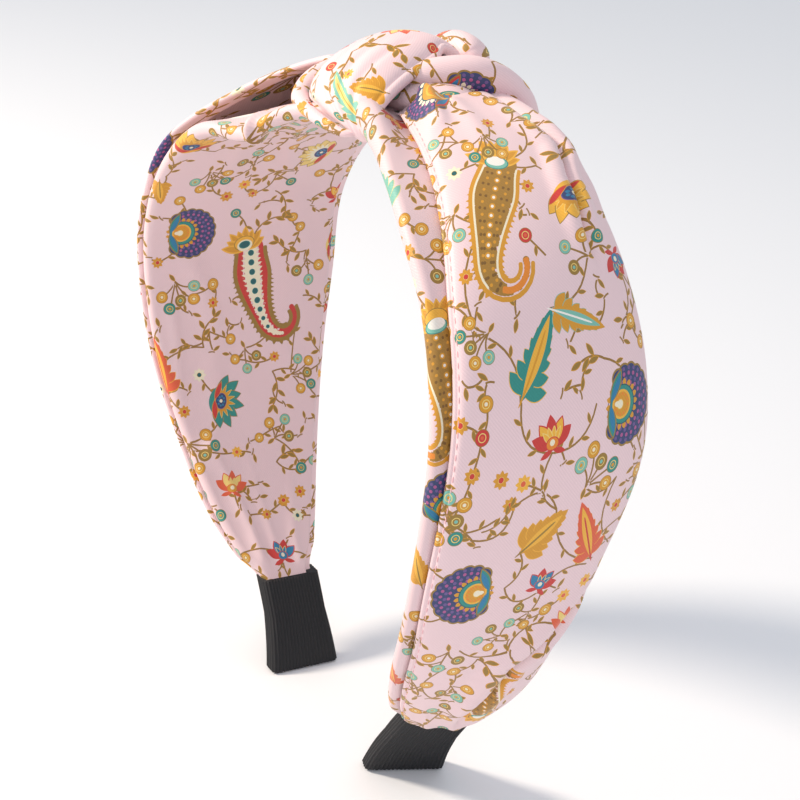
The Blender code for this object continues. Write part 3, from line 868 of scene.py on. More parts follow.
def fold_heights(u, v, folds):
    """Height of soft folds at flat places (u, v): each fold is a route of points, a half-width, a height
    at its start and one at its end, all in millimetres."""
    total = np.zeros(np.broadcast(u, v).shape)
    for route, half, first, last in folds:
        best = np.full(total.shape, 1e9)
        at = np.zeros(total.shape)
        steps = len(route) - 1
        for k in range(steps):
            (x0, y0), (x1, y1) = route[k], route[k + 1]
            dx, dy = x1 - x0, y1 - y0
            t = np.clip(((u - x0) * dx + (v - y0) * dy) / (dx * dx + dy * dy), 0, 1)
            gap = np.hypot(u - x0 - t * dx, v - y0 - t * dy)
            nearer = gap < best
            best = np.where(nearer, gap, best)
            at = np.where(nearer, (k + t) / steps, at)
        ends = smooth(at / 0.15) * smooth((1 - at) / 0.15)
        total += (first + (last - first) * at) * ends * np.exp(-((best / half) ** 2))
    return total


# ------------------------------------------------------------------------------------------ hoop wrap
# The cloth glued round the hoop: the whole inner face, round the front edge and a strip outside it.
# One length of satin per leg, drawn tight, sagging in the far leg's pocket and gathered into the cap.
CLOTH = 0.0008
GLUE = 0.0005  # between the blade and the cloth
WRAP_DEPTH = HOOP_THICKNESS / 2 + GLUE + CLOTH / 2  # from the blade's middle to the cloth
WRAP_STRIP = {-1: 0.0240, 1: 0.0095}
# Share of the leg, reach and height of the place where the turned front edge is fullest.
WRAP_PUFF = {-1: (0.765, 0.055, 0.0002), 1: (0.985, 0.075, 0.0038)}
WRAP_REAR_SPARE = {-1: 0.0016, 1: 0.0}  # more cloth at the rear above the share REAR_SPARE_FROM
REAR_SPARE_FROM = 0.6
POCKET_DIP = (0.045, 0.0044)  # reach and depth of the sag in the pocket's lower lip
POCKET_LIP = 0.014  # how far back from the front edge the lip sags
WRAP_FOOT = {-1: share_at_height(0.0195), 1: share_at_height(0.0165)}
PITCH = 0.00050
WRAP_CENTRE = 42  # the column in the middle of the inner face, where the print's u is 0
CAP_HEIGHT = 0.0200
CAP_WIDTH_TOP = 0.0156
CAP_MIDDLE = {-1: 0.0021, 1: 0.0031}
CAP_SHARE = share_at_height(CAP_HEIGHT)
CAP_WALL = 0.0007
CAP_ROOM = 0.0019  # from the blade's middle to the inside of the cap
GATHER_OVERLAP = 0.006  # the gathering starts to ease this share of the leg below the cap's top
GATHER_REACH = 0.045

WRAP_MOTIFS = {
    -1: (
        ("fan", 15.5, 114.0, 90),
        ("red paisley", -2.5, 98.0, -14, 1.04, -1),
        ("teal crown", 10.0, 69.5, 108),
        ("red leaf", 22.5, 72.0, -10, 1.1),
        ("amber flower", 9.5, 46.0, 12, 0.95),
        ("gold crown", 22.3, 145.0, -20),
        ("cream crown", -15.0, 139.0, -78),
        ("red flower", -24.5, 121.0, -4, 0.9),
        ("spray", 14.0, 134.0, 150, 0.95),
        ("plain leaf", 26.0, 131.0, 165, 0.8),
        ("sprig", -2.4, 112.0, 57),
        ("small spray", -17.0, 104.0, 165),
        ("spray", 19.0, 101.0, 172, 1.0, -1),
        ("sprig", -6.0, 125.0, 150, 0.9),
        ("star", -9.3, 43.0, 0),
        ("cream star", -7.0, 37.0, 0),
        ("teal berry", -11.0, 49.0, 0),
        ("blue tulip", 0.0, 27.0, 0),
        ("cream crown", -24.0, 107.0, 95, 0.8),
        ("fan", -8.0, 172.0, 20),
        ("gold fan", 38.0, 108.0, 40),
        ("gold leaf", 36.0, 150.0, 10),
    ),
    1: (
        ("sea leaf", 22.3, 162.0, 16, 1.15),
        ("gold paisley", 29.5, 126.0, 8, 0.95, -1),
        ("red flower", 28.0, 190.0, 160, 0.9),
        ("fan", 31.5, 103.0, -20, 0.9),
        ("star", 24.5, 151.0, 0),
        ("berry", 28.5, 155.0, 0),
        ("plain leaf", 26.0, 84.0, 12, 0.9),
        ("small spray", 24.5, 70.0, 160, 0.9),
        ("red leaf", 19.0, 48.0, 8, 0.8),
        ("gold paisley", 2.0, 118.0, 0),
        ("fan", -8.0, 90.0, 60),
        ("teal crown", 6.0, 150.0, 30),
        ("red paisley", -3.0, 60.0, 10, 0.9),
        ("cream crown", -12.0, 165.0, 0),
    ),
}
WRAP_FOLDS = {
    -1: (
        (((19.0, 62.0), (14.0, 50.0), (10.0, 34.0), (8.0, 24.0)), 1.6, -0.2, -0.2),
        (((15.0, 62.0), (10.0, 50.0), (6.5, 36.0), (5.0, 23.0)), 1.5, 0.7, 1.0),
        (((4.0, 60.0), (2.0, 40.0), (0.5, 23.0)), 1.5, 0.3, 0.8),
        (((-8.0, 50.0), (-5.0, 34.0), (-4.0, 23.0)), 1.5, 0.3, 0.8),
        (((17.0, 112.0), (9.0, 90.0), (10.0, 66.0), (16.0, 50.0)), 3.0, 0.9, 1.0),
        (((20.5, 98.0), (19.0, 84.0), (19.5, 66.0)), 1.6, 0.8, 0.6),
        (((-12.0, 128.0), (-14.0, 100.0), (-8.0, 72.0)), 4.0, 0.9, 0.6),
        (((6.0, 170.0), (-2.0, 150.0), (-8.0, 130.0)), 2.4, 1.4, 0.4),
        (((-6.0, 172.0), (-12.0, 156.0), (-18.0, 142.0)), 2.0, 1.2, 0.4),
        (((16.0, 164.0), (10.0, 148.0), (8.0, 130.0)), 2.6, 1.2, 0.4),
        (((28.0, 172.0), (18.0, 168.0), (7.0, 160.0)), 1.3, 1.9, 0.8),
    ),
    1: ((((28.0, 60.0), (25.0, 40.0), (24.0, 24.0)), 1.0, 0.2, 0.4),),
}


def drawn_into_cap(side, shares, ys, hs):
    """Cloth gathered toward the cap's opening: its edges and its thickness shrink into the sleeve."""
    near = 1 - smooth((shares - CAP_SHARE + GATHER_OVERLAP) / GATHER_REACH)
    middle = CAP_MIDDLE[side]
    room = CAP_WIDTH_TOP / 2 - CAP_WALL
    wide = np.maximum(np.abs(ys - middle).max(axis=1, keepdims=True), room)
    ys = middle + (ys - middle) * (1 - near * (1 - room / wide))
    high = np.maximum(np.abs(hs).max(axis=1, keepdims=True), CAP_ROOM)
    return ys, hs * (1 - near * (1 - CAP_ROOM / high))


def wrap_grid(side):
    """The wrap's points, and their places on the print: its inner face, the turn and the strip outside."""
    rows = int(LEG_LENGTH * (1 - WRAP_FOOT[side]) / PITCH)
    shares = np.linspace(WRAP_FOOT[side], 1.0, rows)[:, None]
    front = -size_at(shares, FRONT_EDGE[side])
    rear = size_at(shares, REAR_EDGE[side])
    rear = rear + WRAP_REAR_SPARE[side] * smooth((shares - REAR_SPARE_FROM) / 0.1)
    d = WRAP_DEPTH
    at, reach, height = WRAP_PUFF[side]
    puff = height * np.exp(-(((shares - at) / reach) ** 2))
    spread = np.linspace(1.0, 0.0, 84)[None, :]
    lip = smooth((spread - 0.965) / 0.035)
    inner_y = front + d + (rear - front - d) * spread
    inner_h = np.broadcast_to(-d + 0.0011 * lip, inner_y.shape)
    turns = np.linspace(0.0, pi, 16)[None, 1:-1]
    t = np.linspace(0.0, 1.0, 26)[None, :]
    strip = front + d + (WRAP_STRIP[side] - d) * t**1.4
    strip = np.minimum(strip, rear - 0.004 + 0.003 * t)
    over = (d + puff) - puff * smooth((strip - front - d) / 0.007)
    roll_h = (puff - (2 * d + puff) * np.cos(turns)) / 2
    ys = np.hstack([inner_y, front + d - (d + 0.3 * puff) * np.sin(turns), strip])
    hs = np.hstack([inner_h, roll_h, over])
    if side < 0:
        dip = POCKET_DIP[1] * np.exp(-(((shares - POCKET_SHARE) / POCKET_DIP[0]) ** 2))
        hs = hs - dip * (1 - smooth((ys - front) / POCKET_LIP))
    ys, hs = drawn_into_cap(side, shares, ys, hs)
    points = place(side, shares, ys, hs)
    u = row_arc(points)
    u = u - u[:, WRAP_CENTRE : WRAP_CENTRE + 1]
    v = shares * LEG_LENGTH * 1000
    layout = np.stack([u, np.broadcast_to(v, u.shape)], axis=-1)
    return points, layout


for word, side in SIDES.items():
    points, layout = wrap_grid(side)
    bend = fold_heights(layout[..., 0], layout[..., 1], WRAP_FOLDS[side])
    points = points + side * normals_of(points) * bend[..., None] * 0.001
    # The wrap is drawn in the shaded copy of the satin, so its colours carry painted shade.
    wrap = grid_object(f"wrap_{word}", points, SATIN_WRAP_SHADED, flip=side > 0)
    high = (50.0 if side < 0 else 37.0, 198.0)
    shapes = print_layout(WRAP_MOTIFS[side], (-26.0, 20.0), high, 7 + side)
    paint(wrap, layout, shapes, flip=side > 0)
    fix_to_leg(wrap)
    if side < 0:
        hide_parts("hoop_wrap")


# ---------------------------------------------------------------------------------------- soft covers
# One leg's outer cover: a bowed length of satin, its front edge folded under and sewn to the wrap's strip,
# its rear edge turned round the rear of the hoop, gathered into the knot above and the cap below.
COVER_FRONT = {
    -1: np.array([4.6, 7.6, 13.8, 19.9, 24.3, 27.2, 28.4, 25.8, 13.5, 3.0, 0.5, 0.0]) / 1000,
    1: np.array([3.0, 6.7, 13.0, 20.9, 24.2, 24.2, 22.2, 19.4, 14.4, 9.2, 5.6, 2.5]) / 1000,
}
COVER_FRONT_HEIGHT = {
    -1: np.array([3.1, 2.9, 2.6, 2.4, 2.4, 2.4, 2.6, 5.6, 8.4, 10.4, 10.4, 8.0]) / 1000,
    1: np.array([3.2, 3.0, 2.8, 2.6, 2.6, 2.6, 2.6, 2.6, 2.6, 2.7, 3.0, 3.4]) / 1000,
}
COVER_REAR = {
    -1: np.array([10.0, 10.4, 14.0, 19.6, 23.2, 25.6, 24.8, 24.6, 24.6, 24.6, 23.6, 22.0]) / 1000,
    1: np.array([8.8, 11.4, 16.6, 18.0, 19.6, 23.2, 23.8, 24.0, 24.8, 26.2, 27.2, 28.0]) / 1000,
}
COVER_RISE = {
    -1: np.array([4.2, 5.0, 5.8, 6.4, 6.8, 7.0, 7.2, 8.0, 10.2, 12.2, 12.8, 11.6]) / 1000,
    1: np.array([4.4, 5.4, 6.4, 6.6, 6.6, 6.6, 6.8, 7.2, 7.6, 8.0, 8.0, 7.4]) / 1000,
}
COVER_STOP = {-1: share_at_half_span(0.0200), 1: share_at_half_span(0.0035)}
COVER_END = {-1: (0.80, 0.30), 1: (0.55, 0.08)}  # parts pressed down and drawn in under the knot
KNOT_REACH = 0.030  # the share of the leg over which an end is pressed down and drawn in
COVER_FOOT = {-1: share_at_height(0.0150), 1: share_at_height(0.0185)}
FOLD_RADIUS = 0.0006
HEM = 0.0040  # the front edge turned under
REAR_TUCK = 0.0030  # the rear edge turned under the blade
COVER_FOLD_COLUMN = 15  # the first column past the front fold, where the print's u is 0

COVER_MOTIFS = {
    -1: (
        ("gold paisley", 30.0, 158.0, 20),
        ("star", 6.0, 156.0, 0, 1.1),
        ("fan", 12.0, 120.0, -60),
        ("fan", 34.0, 96.0, 80),
        ("teal leaf", 34.0, 130.0, 30),
        ("red paisley", 20.0, 78.0, -20, 1.0, -1),
        ("teal crown", 14.0, 46.0, 10, 0.9),
        ("blue tulip", 3.0, 98.0, 40),
        ("amber flower", 48.0, 118.0, 0),
        ("red leaf", 40.0, 62.0, 20),
        ("gold fan", 2.0, 134.0, 30, 0.9),
    ),
    1: (
        ("gold paisley", 10.2, 154.5, -16, 1.05),
        ("teal leaf", 12.6, 120.0, -28, 1.2),
        ("gold leaf", 20.0, 134.5, -108, 0.95),
        ("fan", 38.6, 117.0, -96),
        ("red flower", 20.4, 112.0, 12),
        ("red leaf", 37.0, 86.0, 26, 1.15),
        ("plain leaf", 17.4, 91.5, -50, 1.25),
        ("fan", 7.6, 83.4, 96),
        ("blue tulip", 24.2, 82.5, -24, 0.95),
        ("gold crown", 27.0, 156.5, -150),
        ("gold paisley", 18.5, 46.0, 175, 0.8, -1),
        ("star", 10.0, 107.5, 0),
        ("red star", 15.0, 106.3, 0),
        ("star", 13.0, 102.4, 0),
        ("spray", 12.6, 172.0, 170, 0.9),
        ("small spray", 7.0, 171.5, 60, 0.9),
        ("small spray", 20.5, 175.5, -70, 0.9),
        ("blue tulip", 38.0, 143.5, -160, 0.95),
        ("amber flower", 33.0, 70.0, -10, 0.9),
        ("spray", 30.0, 103.5, -40),
        ("small spray", 30.0, 143.0, 60, 0.9),
        ("sprig", 8.0, 97.5, -50, 0.8),
        ("spray", 6.5, 132.0, 110, 0.8),
        ("small spray", 6.6, 68.0, 160),
        ("berry", 9.0, 60.5, 0),
        ("gold fan", 6.0, 188.0, 60, 0.9),
        ("sprig", 40.0, 160.0, -10),
    ),
}
COVER_VINES = {
    -1: ((12.0, 130.0, 30.0, 104.0, 0.3), (34.0, 128.0, 22.0, 90.0, -0.3), (16.0, 60.0, 38.0, 70.0, 0.4)),
    1: (
        (20.6, 111.0, 12.8, 120.0, 0.5),
        (20.8, 111.0, 30.0, 118.0, -0.4),
        (14.0, 102.0, 24.0, 100.0, 0.6),
        (24.0, 100.0, 37.4, 86.0, -0.35),
        (24.0, 100.0, 20.4, 111.0, 0.5),
        (24.0, 81.0, 16.0, 84.0, 0.6),
        (16.0, 84.0, 17.6, 92.0, -0.5),
        (24.4, 81.0, 36.0, 85.0, 0.4),
        (6.0, 96.0, 14.0, 102.0, -0.6),
        (12.6, 120.0, 4.5, 132.0, -0.35),
        (4.5, 132.0, 6.5, 150.0, 0.3),
        (20.0, 134.6, 30.0, 143.0, -0.4),
        (30.0, 143.0, 37.6, 143.4, 0.5),
        (17.0, 165.0, 22.0, 174.0, -0.5),
        (9.0, 68.0, 20.0, 66.0, -0.4),
        (20.0, 66.0, 30.0, 72.0, 0.5),
        (6.0, 48.0, 7.0, 62.0, 0.5),
        (38.0, 104.0, 42.0, 88.0, -0.4),
        (38.0, 104.0, 30.0, 103.5, 0.5),
        (37.0, 130.0, 38.0, 142.0, -0.5),
    ),
}
KNOT_PLEAT = ((33.0, 138.0), (28.8, 150.0), (27.2, 160.0), (27.6, 168.5), (23.5, 177.0), (18.5, 196.0))
LOWER_PLEAT = (
    (10.5, 28.0),
    (13.0, 42.0),
    (17.5, 54.0),
    (20.0, 61.3),
    (25.5, 66.0),
    (33.0, 71.5),
    (46.0, 81.0),
)
COVER_PLEATS = {  # route, half-width, depth and overlap, in millimetres
    -1: (),
    1: (
        (KNOT_PLEAT, 1.9, 3.2, 1.8),
        (((40.0, 150.0), (36.0, 162.0), (31.0, 174.0), (25.0, 196.0)), 1.7, 2.0, 1.0),
        (LOWER_PLEAT, 2.4, 5.4, 2.6),
    ),
}
COVER_FOLDS = {
    -1: (
        (((8.0, 150.0), (20.0, 158.0), (26.0, 172.0)), 3.0, -0.4, -1.6),
        (((24.0, 140.0), (32.0, 156.0), (34.0, 172.0)), 2.4, -0.3, -1.4),
        (((30.0, 70.0), (22.0, 50.0), (16.0, 28.0)), 2.4, -0.5, -1.5),
        (((12.0, 60.0), (9.0, 42.0), (8.0, 26.0)), 1.8, -0.3, -1.0),
    ),
    1: (
        (((10.0, 188.0), (12.0, 178.0), (13.0, 166.0)), 2.4, -1.0, -0.3),
        (((6.8, 197.0), (6.2, 187.0), (5.4, 176.0)), 2.0, -4.6, -0.4),
        (((0.5, 196.0), (1.0, 186.0), (1.5, 174.0)), 1.3, 1.2, 0.1),
        (((14.0, 52.0), (12.5, 40.0), (12.0, 26.0)), 1.8, -0.4, -0.9),
        (((5.0, 46.0), (5.5, 34.0), (5.0, 24.0)), 1.5, -0.2, -0.6),
    ),
}


def pleated(points, layout, pleats):
    """Overlapping folds: left of each route, in the way it runs, the cloth laps over a valley on its
    right."""
    over = np.gradient(points, axis=1)
    along = np.gradient(points, axis=0)
    over = over / np.maximum(np.linalg.norm(over, axis=-1, keepdims=True), 1e-12)
    along = along / np.maximum(np.linalg.norm(along, axis=-1, keepdims=True), 1e-12)
    out = normals_of(points)
    out = out * np.sign(np.sum(out * (points - np.array([0.0, 0.0, 0.09])), axis=-1, keepdims=True))
    u, v = layout[..., 0], layout[..., 1]
    for route, wide, deep, lap in pleats:
        best = np.full(u.shape, 1e9)
        gap, at, way_u, way_v = (np.zeros(u.shape) for _ in range(4))
        for k in range(len(route) - 1):
            (x0, y0), (x1, y1) = route[k], route[k + 1]
            dx, dy = x1 - x0, y1 - y0
            long = np.hypot(dx, dy)
            t = np.clip(((u - x0) * dx + (v - y0) * dy) / long**2, 0, 1)
            away = np.hypot(u - x0 - t * dx, v - y0 - t * dy)
            nearer = away < best
            best = np.where(nearer, away, best)
            hand = np.sign((u - x0) * dy - (v - y0) * dx)
            gap = np.where(nearer, away * hand, gap)
            at = np.where(nearer, (k + t) / (len(route) - 1), at)
            way_u = np.where(nearer, dy / long, way_u)
            way_v = np.where(nearer, -dx / long, way_v)
        s = gap / wide
        strength = smooth(at / 0.3) * smooth((1 - at) / 0.35) * 0.001
        ridge = 0.4 * np.exp(-(((s + 0.6) / 0.9) ** 2))
        valley = np.exp(-(((s - 0.7) / 0.55) ** 2))
        far_ridge = 0.35 * np.exp(-(((s - 2.3) / 1.0) ** 2))
        lift = (ridge - valley + far_ridge) * deep * strength
        step = lap * np.exp(-(((s + 0.1) / 0.6) ** 2)) * strength
        sideways = over * way_u[..., None] + along * way_v[..., None]
        points = points + out * lift[..., None] + sideways * step[..., None]
    return points


def cover_grid(side):
    """A cover's points, and their places on the print: the hem, the front fold, the bow and the tuck."""
    rows = int(LEG_LENGTH * (COVER_STOP[side] - COVER_FOOT[side]) / PITCH)
    shares = np.linspace(COVER_FOOT[side], COVER_STOP[side], rows)[:, None]
    front = -size_at(shares, COVER_FRONT[side])
    seat = size_at(shares, COVER_FRONT_HEIGHT[side])
    rear = size_at(shares, COVER_REAR[side])
    rise = size_at(shares, COVER_RISE[side])
    turns = np.linspace(-pi / 2, pi / 2, 8)[None, :]
    lap_y = front + FOLD_RADIUS + HEM * np.linspace(1.0, 0.0, 8)[None, :-1]
    lap_h = np.broadcast_to(seat - FOLD_RADIUS, lap_y.shape)
    fold_y = front + FOLD_RADIUS - FOLD_RADIUS * np.cos(turns)
    fold_h = seat + FOLD_RADIUS * np.sin(turns)
    a = np.linspace(0.0, 1.0, 112)[None, 1:]
    a = pi * (0.82 * a + 0.18 * (1 - np.cos(pi * a)) / 2)
    half = (rear - front - FOLD_RADIUS) / 2
    dome_y = front + FOLD_RADIUS + half - half * np.cos(a)
    base = (seat + FOLD_RADIUS) * (1 + np.cos(a)) / 2 - 0.0004 * (1 - np.cos(a)) / 2
    dome_h = base + (rise - base) * np.sin(a) ** 0.8
    tuck = np.linspace(0.0, 1.0, 9)[None, 1:]
    tuck_y = rear - REAR_TUCK * smooth(tuck)
    tuck_h = np.broadcast_to(-0.0004 - 0.0008 * np.sin(tuck * pi / 2), tuck_y.shape)
    ys = np.hstack([lap_y, fold_y, dome_y, tuck_y])
    hs = np.hstack([lap_h, fold_h, dome_h, tuck_h])
    end = smooth((shares - COVER_STOP[side] + KNOT_REACH) / KNOT_REACH)
    drop, draw = COVER_END[side]
    hs = hs - np.maximum(hs - 0.0016, 0.0) * drop * end**2
    ys = ys + (-0.001 - ys) * draw * end**2
    ys, hs = drawn_into_cap(side, shares, ys, hs)
    points = place(side, shares, ys, hs)
    u = row_arc(points)
    u = u - u[:, COVER_FOLD_COLUMN : COVER_FOLD_COLUMN + 1]
    v = shares * LEG_LENGTH * 1000
    layout = np.stack([u, np.broadcast_to(v, u.shape)], axis=-1)
    return points, layout


seam_rows = {}
for word, side in SIDES.items():
    points, layout = cover_grid(side)
    bend = fold_heights(layout[..., 0], layout[..., 1], COVER_FOLDS[side])
    points = pleated(points - side * normals_of(points) * bend[..., None] * 0.001, layout, COVER_PLEATS[side])
    cover = grid_object(f"cover_{word}", points, SATIN, flip=side < 0)
    cover.name = f"soft_cover_{word}"
    high = (60.0 if side < 0 else 53.5, 192.0)
    shapes = print_layout(COVER_MOTIFS[side], (-6.0, 17.0), high, 21 + side, vines=COVER_VINES[side])
    paint(cover, layout, shapes, flip=side < 0)
    fix_to_leg(cover)
    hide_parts(f"cover_{word}")
    seam_rows[side] = (points, layout)


# ------------------------------------------------------------------------------------------ seam stitches
# Pink polyester thread: a running stitch beside each cover's folded front edge, through to the wrap.
# Each stitch is one small bead of thread, laid at even steps along the edge by a node group.
STITCH_PITCH = 0.0021
STITCH_LENGTH = 0.0013
THREAD_RADIUS = 0.00014
SEAM_COLUMN = 17  # the column of the cover's grid that the stitches follow
SEAM_ENDS = {-1: (0.10, 0.64), 1: (0.10, 0.93)}  # shares of the leg

thread, tree = new_material("pink_polyester_thread")
shader = add_node(tree, "ShaderNodeBsdfPrincipled", Base_Color=linear("E3AFB4"), Roughness=0.6)
add_node(tree, "ShaderNodeOutputMaterial", {"Surface": shader.outputs[0]})


def stitch_group():
    """Stitches laid end to end along an edge path: path, pitch, length, radius and thread in, mesh out."""
    group = bpy.data.node_groups.new("running_stitch", "GeometryNodeTree")
    group.interface.new_socket("Path", in_out="INPUT", socket_type="NodeSocketGeometry")
    for name in ("Pitch", "Length", "Radius"):
        group.interface.new_socket(name, in_out="INPUT", socket_type="NodeSocketFloat")
    group.interface.new_socket("Thread", in_out="INPUT", socket_type="NodeSocketMaterial")
    group.interface.new_socket("Stitches", in_out="OUTPUT", socket_type="NodeSocketGeometry")
    given = add_node(group, "NodeGroupInput").outputs
    curve = add_node(group, "GeometryNodeMeshToCurve", {"Mesh": given["Path"]})
    sampled = {"Curve": curve.outputs[0], "Length": given["Pitch"]}
    spots = add_node(group, "GeometryNodeCurveToPoints", sampled, mode="LENGTH")
    bead = add_node(group, "GeometryNodeMeshUVSphere", Segments=10, Rings=8, Radius=0.5)
    across = add_node(group, "ShaderNodeMath", {0: given["Radius"]}, operation="MULTIPLY")
    across.inputs[1].default_value = 2.0
    size = add_node(
        group, "ShaderNodeCombineXYZ", {"X": across.outputs[0], "Y": across.outputs[0], "Z": given["Length"]}
    )
    laid = add_node(
        group,
        "GeometryNodeInstanceOnPoints",
        {
            "Points": spots.outputs["Points"],
            "Instance": bead.outputs["Mesh"],
            "Rotation": spots.outputs["Rotation"],
            "Scale": size.outputs[0],
        },
    )
    real = add_node(group, "GeometryNodeRealizeInstances", {"Geometry": laid.outputs[0]})
    dyed = {"Geometry": real.outputs[0], "Material": given["Thread"]}
    finish = add_node(group, "GeometryNodeSetMaterial", dyed)
    add_node(group, "NodeGroupOutput", {"Stitches": finish.outputs[0]})
    return group


STITCHES = stitch_group()
for word, side in SIDES.items():
    points, layout = seam_rows[side]
    first, last = SEAM_ENDS[side]
    shares = layout[:, SEAM_COLUMN, 1] / 1000 / LEG_LENGTH
    route = points[(shares > first) & (shares < last)][:, SEAM_COLUMN]
    guide = bpy.data.meshes.new("seam_route")
    guide.from_pydata([tuple(p) for p in route], [(k, k + 1) for k in range(len(route) - 1)], [])
    sewn = bpy.data.objects.new(f"stitches_{word}", guide)
    bpy.context.scene.collection.objects.link(sewn)
    maker = sewn.modifiers.new("stitch", "NODES")
    maker.node_group = STITCHES
    sockets = {s.name: s.identifier for s in STITCHES.interface.items_tree if s.in_out == "INPUT"}
    maker[sockets["Pitch"]] = STITCH_PITCH
    maker[sockets["Length"]] = STITCH_LENGTH
    maker[sockets["Radius"]] = THREAD_RADIUS
    maker[sockets["Thread"]] = thread
    bpy.context.view_layer.update()
    laid = bpy.data.meshes.new_from_object(sewn.evaluated_get(bpy.context.evaluated_depsgraph_get()))
    sewn.modifiers.clear()
    sewn.data = laid
    fix_to_leg(sewn)
    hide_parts(f"seam_thread_{word}")


# --------------------------------------------------------------------------------------------- end caps
# A folded sleeve of black ribbed grosgrain on each tip, glued over the cloth, cut level at the foot.
# Its ribs run lengthwise, it widens toward the foot, and the near one is turned with its leg.
CAP_WIDTH_BOTTOM = 0.0185
CAP_THICKNESS = 0.0046
CAP_CORNER = 0.0013
CAP_SPARE = 0.0004  # above the height of the cap
CAP_TAPER = 1.6  # the cap has its top width from CAP_HEIGHT / CAP_TAPER up
CAP_COLUMNS = 320
RIBS = 46
RIB_DEPTH = 0.00011
FOOT_ROUND = 0.0006


def rounded_ring(width, thickness, corner, count):
    """Points round a rounded rectangle, evenly spaced, with their outward directions."""
    dense = []
    for cx, cy, start in ((1, 1, 0), (-1, 1, 1), (-1, -1, 2), (1, -1, 3)):
        for k in range(12):
            a = (start + k / 11) * pi / 2
            x = cx * (width / 2 - corner) + corner * cos(a)
            y = cy * (thickness / 2 - corner) + corner * sin(a)
            dense.append((x, y, cos(a), sin(a)))
    dense = np.array(dense + dense[:1])
    walked = np.concatenate([[0], np.cumsum(np.hypot(*np.diff(dense[:, :2], axis=0).T))])
    at = np.linspace(0, walked[-1], count)
    return np.stack([np.interp(at, walked, dense[:, k]) for k in range(4)], axis=-1)


grosgrain, tree = new_material("black_grosgrain")
where = add_node(tree, "ShaderNodeTexCoord")
weave = add_node(tree, "ShaderNodeTexNoise", {"Vector": where.outputs["Object"]}, Scale=4200.0, Detail=1.0)
bump = add_node(tree, "ShaderNodeBump", {"Height": weave.outputs["Fac"]}, Strength=0.5, Distance=0.0001)
shader = add_node(
    tree, "ShaderNodeBsdfPrincipled", {"Normal": bump.outputs[0]}, Base_Color=linear("17171B"), Roughness=0.7
)
add_node(tree, "ShaderNodeOutputMaterial", {"Surface": shader.outputs[0]})

around = np.linspace(0, 1, CAP_COLUMNS)
rib = RIB_DEPTH * np.sin(around * 2 * pi * RIBS)
heights = np.concatenate([np.linspace(0.0, FOOT_ROUND, 4), np.linspace(0.0010, CAP_HEIGHT + CAP_SPARE, 60)])
for word, side in SIDES.items():
    rings = []
    for height in heights:
        share = share_at_height(height)
        x = np.interp(share * LEG_LENGTH, WALKED, OUTLINE[:, 0])
        lean = (np.interp(share * LEG_LENGTH + 0.001, WALKED, OUTLINE[:, 0]) - x) / 0.001
        slant = 1.0 / cos(np.arcsin(np.clip(lean, -0.9, 0.9)))
        narrowed = min(1.0, CAP_TAPER * (height / CAP_HEIGHT))
        width = CAP_WIDTH_BOTTOM + (CAP_WIDTH_TOP - CAP_WIDTH_BOTTOM) * narrowed
        ring = rounded_ring(width, CAP_THICKNESS, CAP_CORNER, CAP_COLUMNS)
        round_foot = FOOT_ROUND * (1 - min(1.0, height / FOOT_ROUND)) ** 2
        ring[:, :2] += ring[:, 2:] * (rib - round_foot)[:, None]
        across = CAP_MIDDLE[side] + ring[:, 0]
        turn = TIP_TURN[side] * smooth(1.0 - share / TURN_STARTS)
        y = across * np.cos(turn) - ring[:, 1] * np.sin(turn)
        n = ring[:, 1] * np.cos(turn) + across * np.sin(turn)
        rings.append(np.stack([side * (x + n * slant), y + DEPTH_SHIFT, np.full(len(y), height)], axis=-1))
    points = np.array(rings)
    middles = points.mean(axis=1, keepdims=True)
    foot = middles[:1] + (points[:1] - middles[:1]) * 0.02
    top = middles[-1:] + (points[-1:] - middles[-1:]) * 0.5
    points = np.concatenate([foot, points, top])
    cap = grid_object(f"grosgrain_cap_{word}", points, grosgrain, flip=side < 0)
    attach(cap, f"leg_{word}")
    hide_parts(f"end_cap_{word}")


# ------------------------------------------------------------------------------------------------ knot
# Both covers' ends, twisted round each other on the crown and tucked under: a broad loop from behind
# over the crown and down in front of it, a fold beside it, a roll led under it to the rear, a fold behind,
# and a wrap below that. Each is one sheet of satin; a filling closes the middle.
CURL_RADIUS = 1.3
CURL_MOST = 2.6  # radians turned under


def smooth_route(route, count):
    """A denser route through the given points, on one smooth curve (Catmull-Rom)."""
    points = np.array(route, float)
    padded = np.vstack([2 * points[0] - points[1], points, 2 * points[-1] - points[-2]])
    at = np.linspace(0.0, len(points) - 1.0, count)
    i = np.minimum(at.astype(int), len(points) - 2)
    t = (at - i)[:, None]
    a, b, c, d = padded[i], padded[i + 1], padded[i + 2], padded[i + 3]
    return 0.5 * (2 * b + (c - a) * t + (2 * a - 5 * b + 4 * c - d) * t**2 + (3 * b - a - 3 * c + d) * t**3)


def knot_layout(points, turn, x):
    """Flat places of a knot piece: across and along distances, turned, and moved on the print."""
    u = row_arc(points)
    u = u - u.mean(axis=1, keepdims=True)
    steps = np.linalg.norm(np.diff(points.mean(axis=1), axis=0), axis=-1) * 1000
    v = np.concatenate([[0.0], np.cumsum(steps)])[:, None]
    return np.stack([x + u * cos(turn) - v * sin(turn), u * sin(turn) + v * cos(turn)], axis=-1)


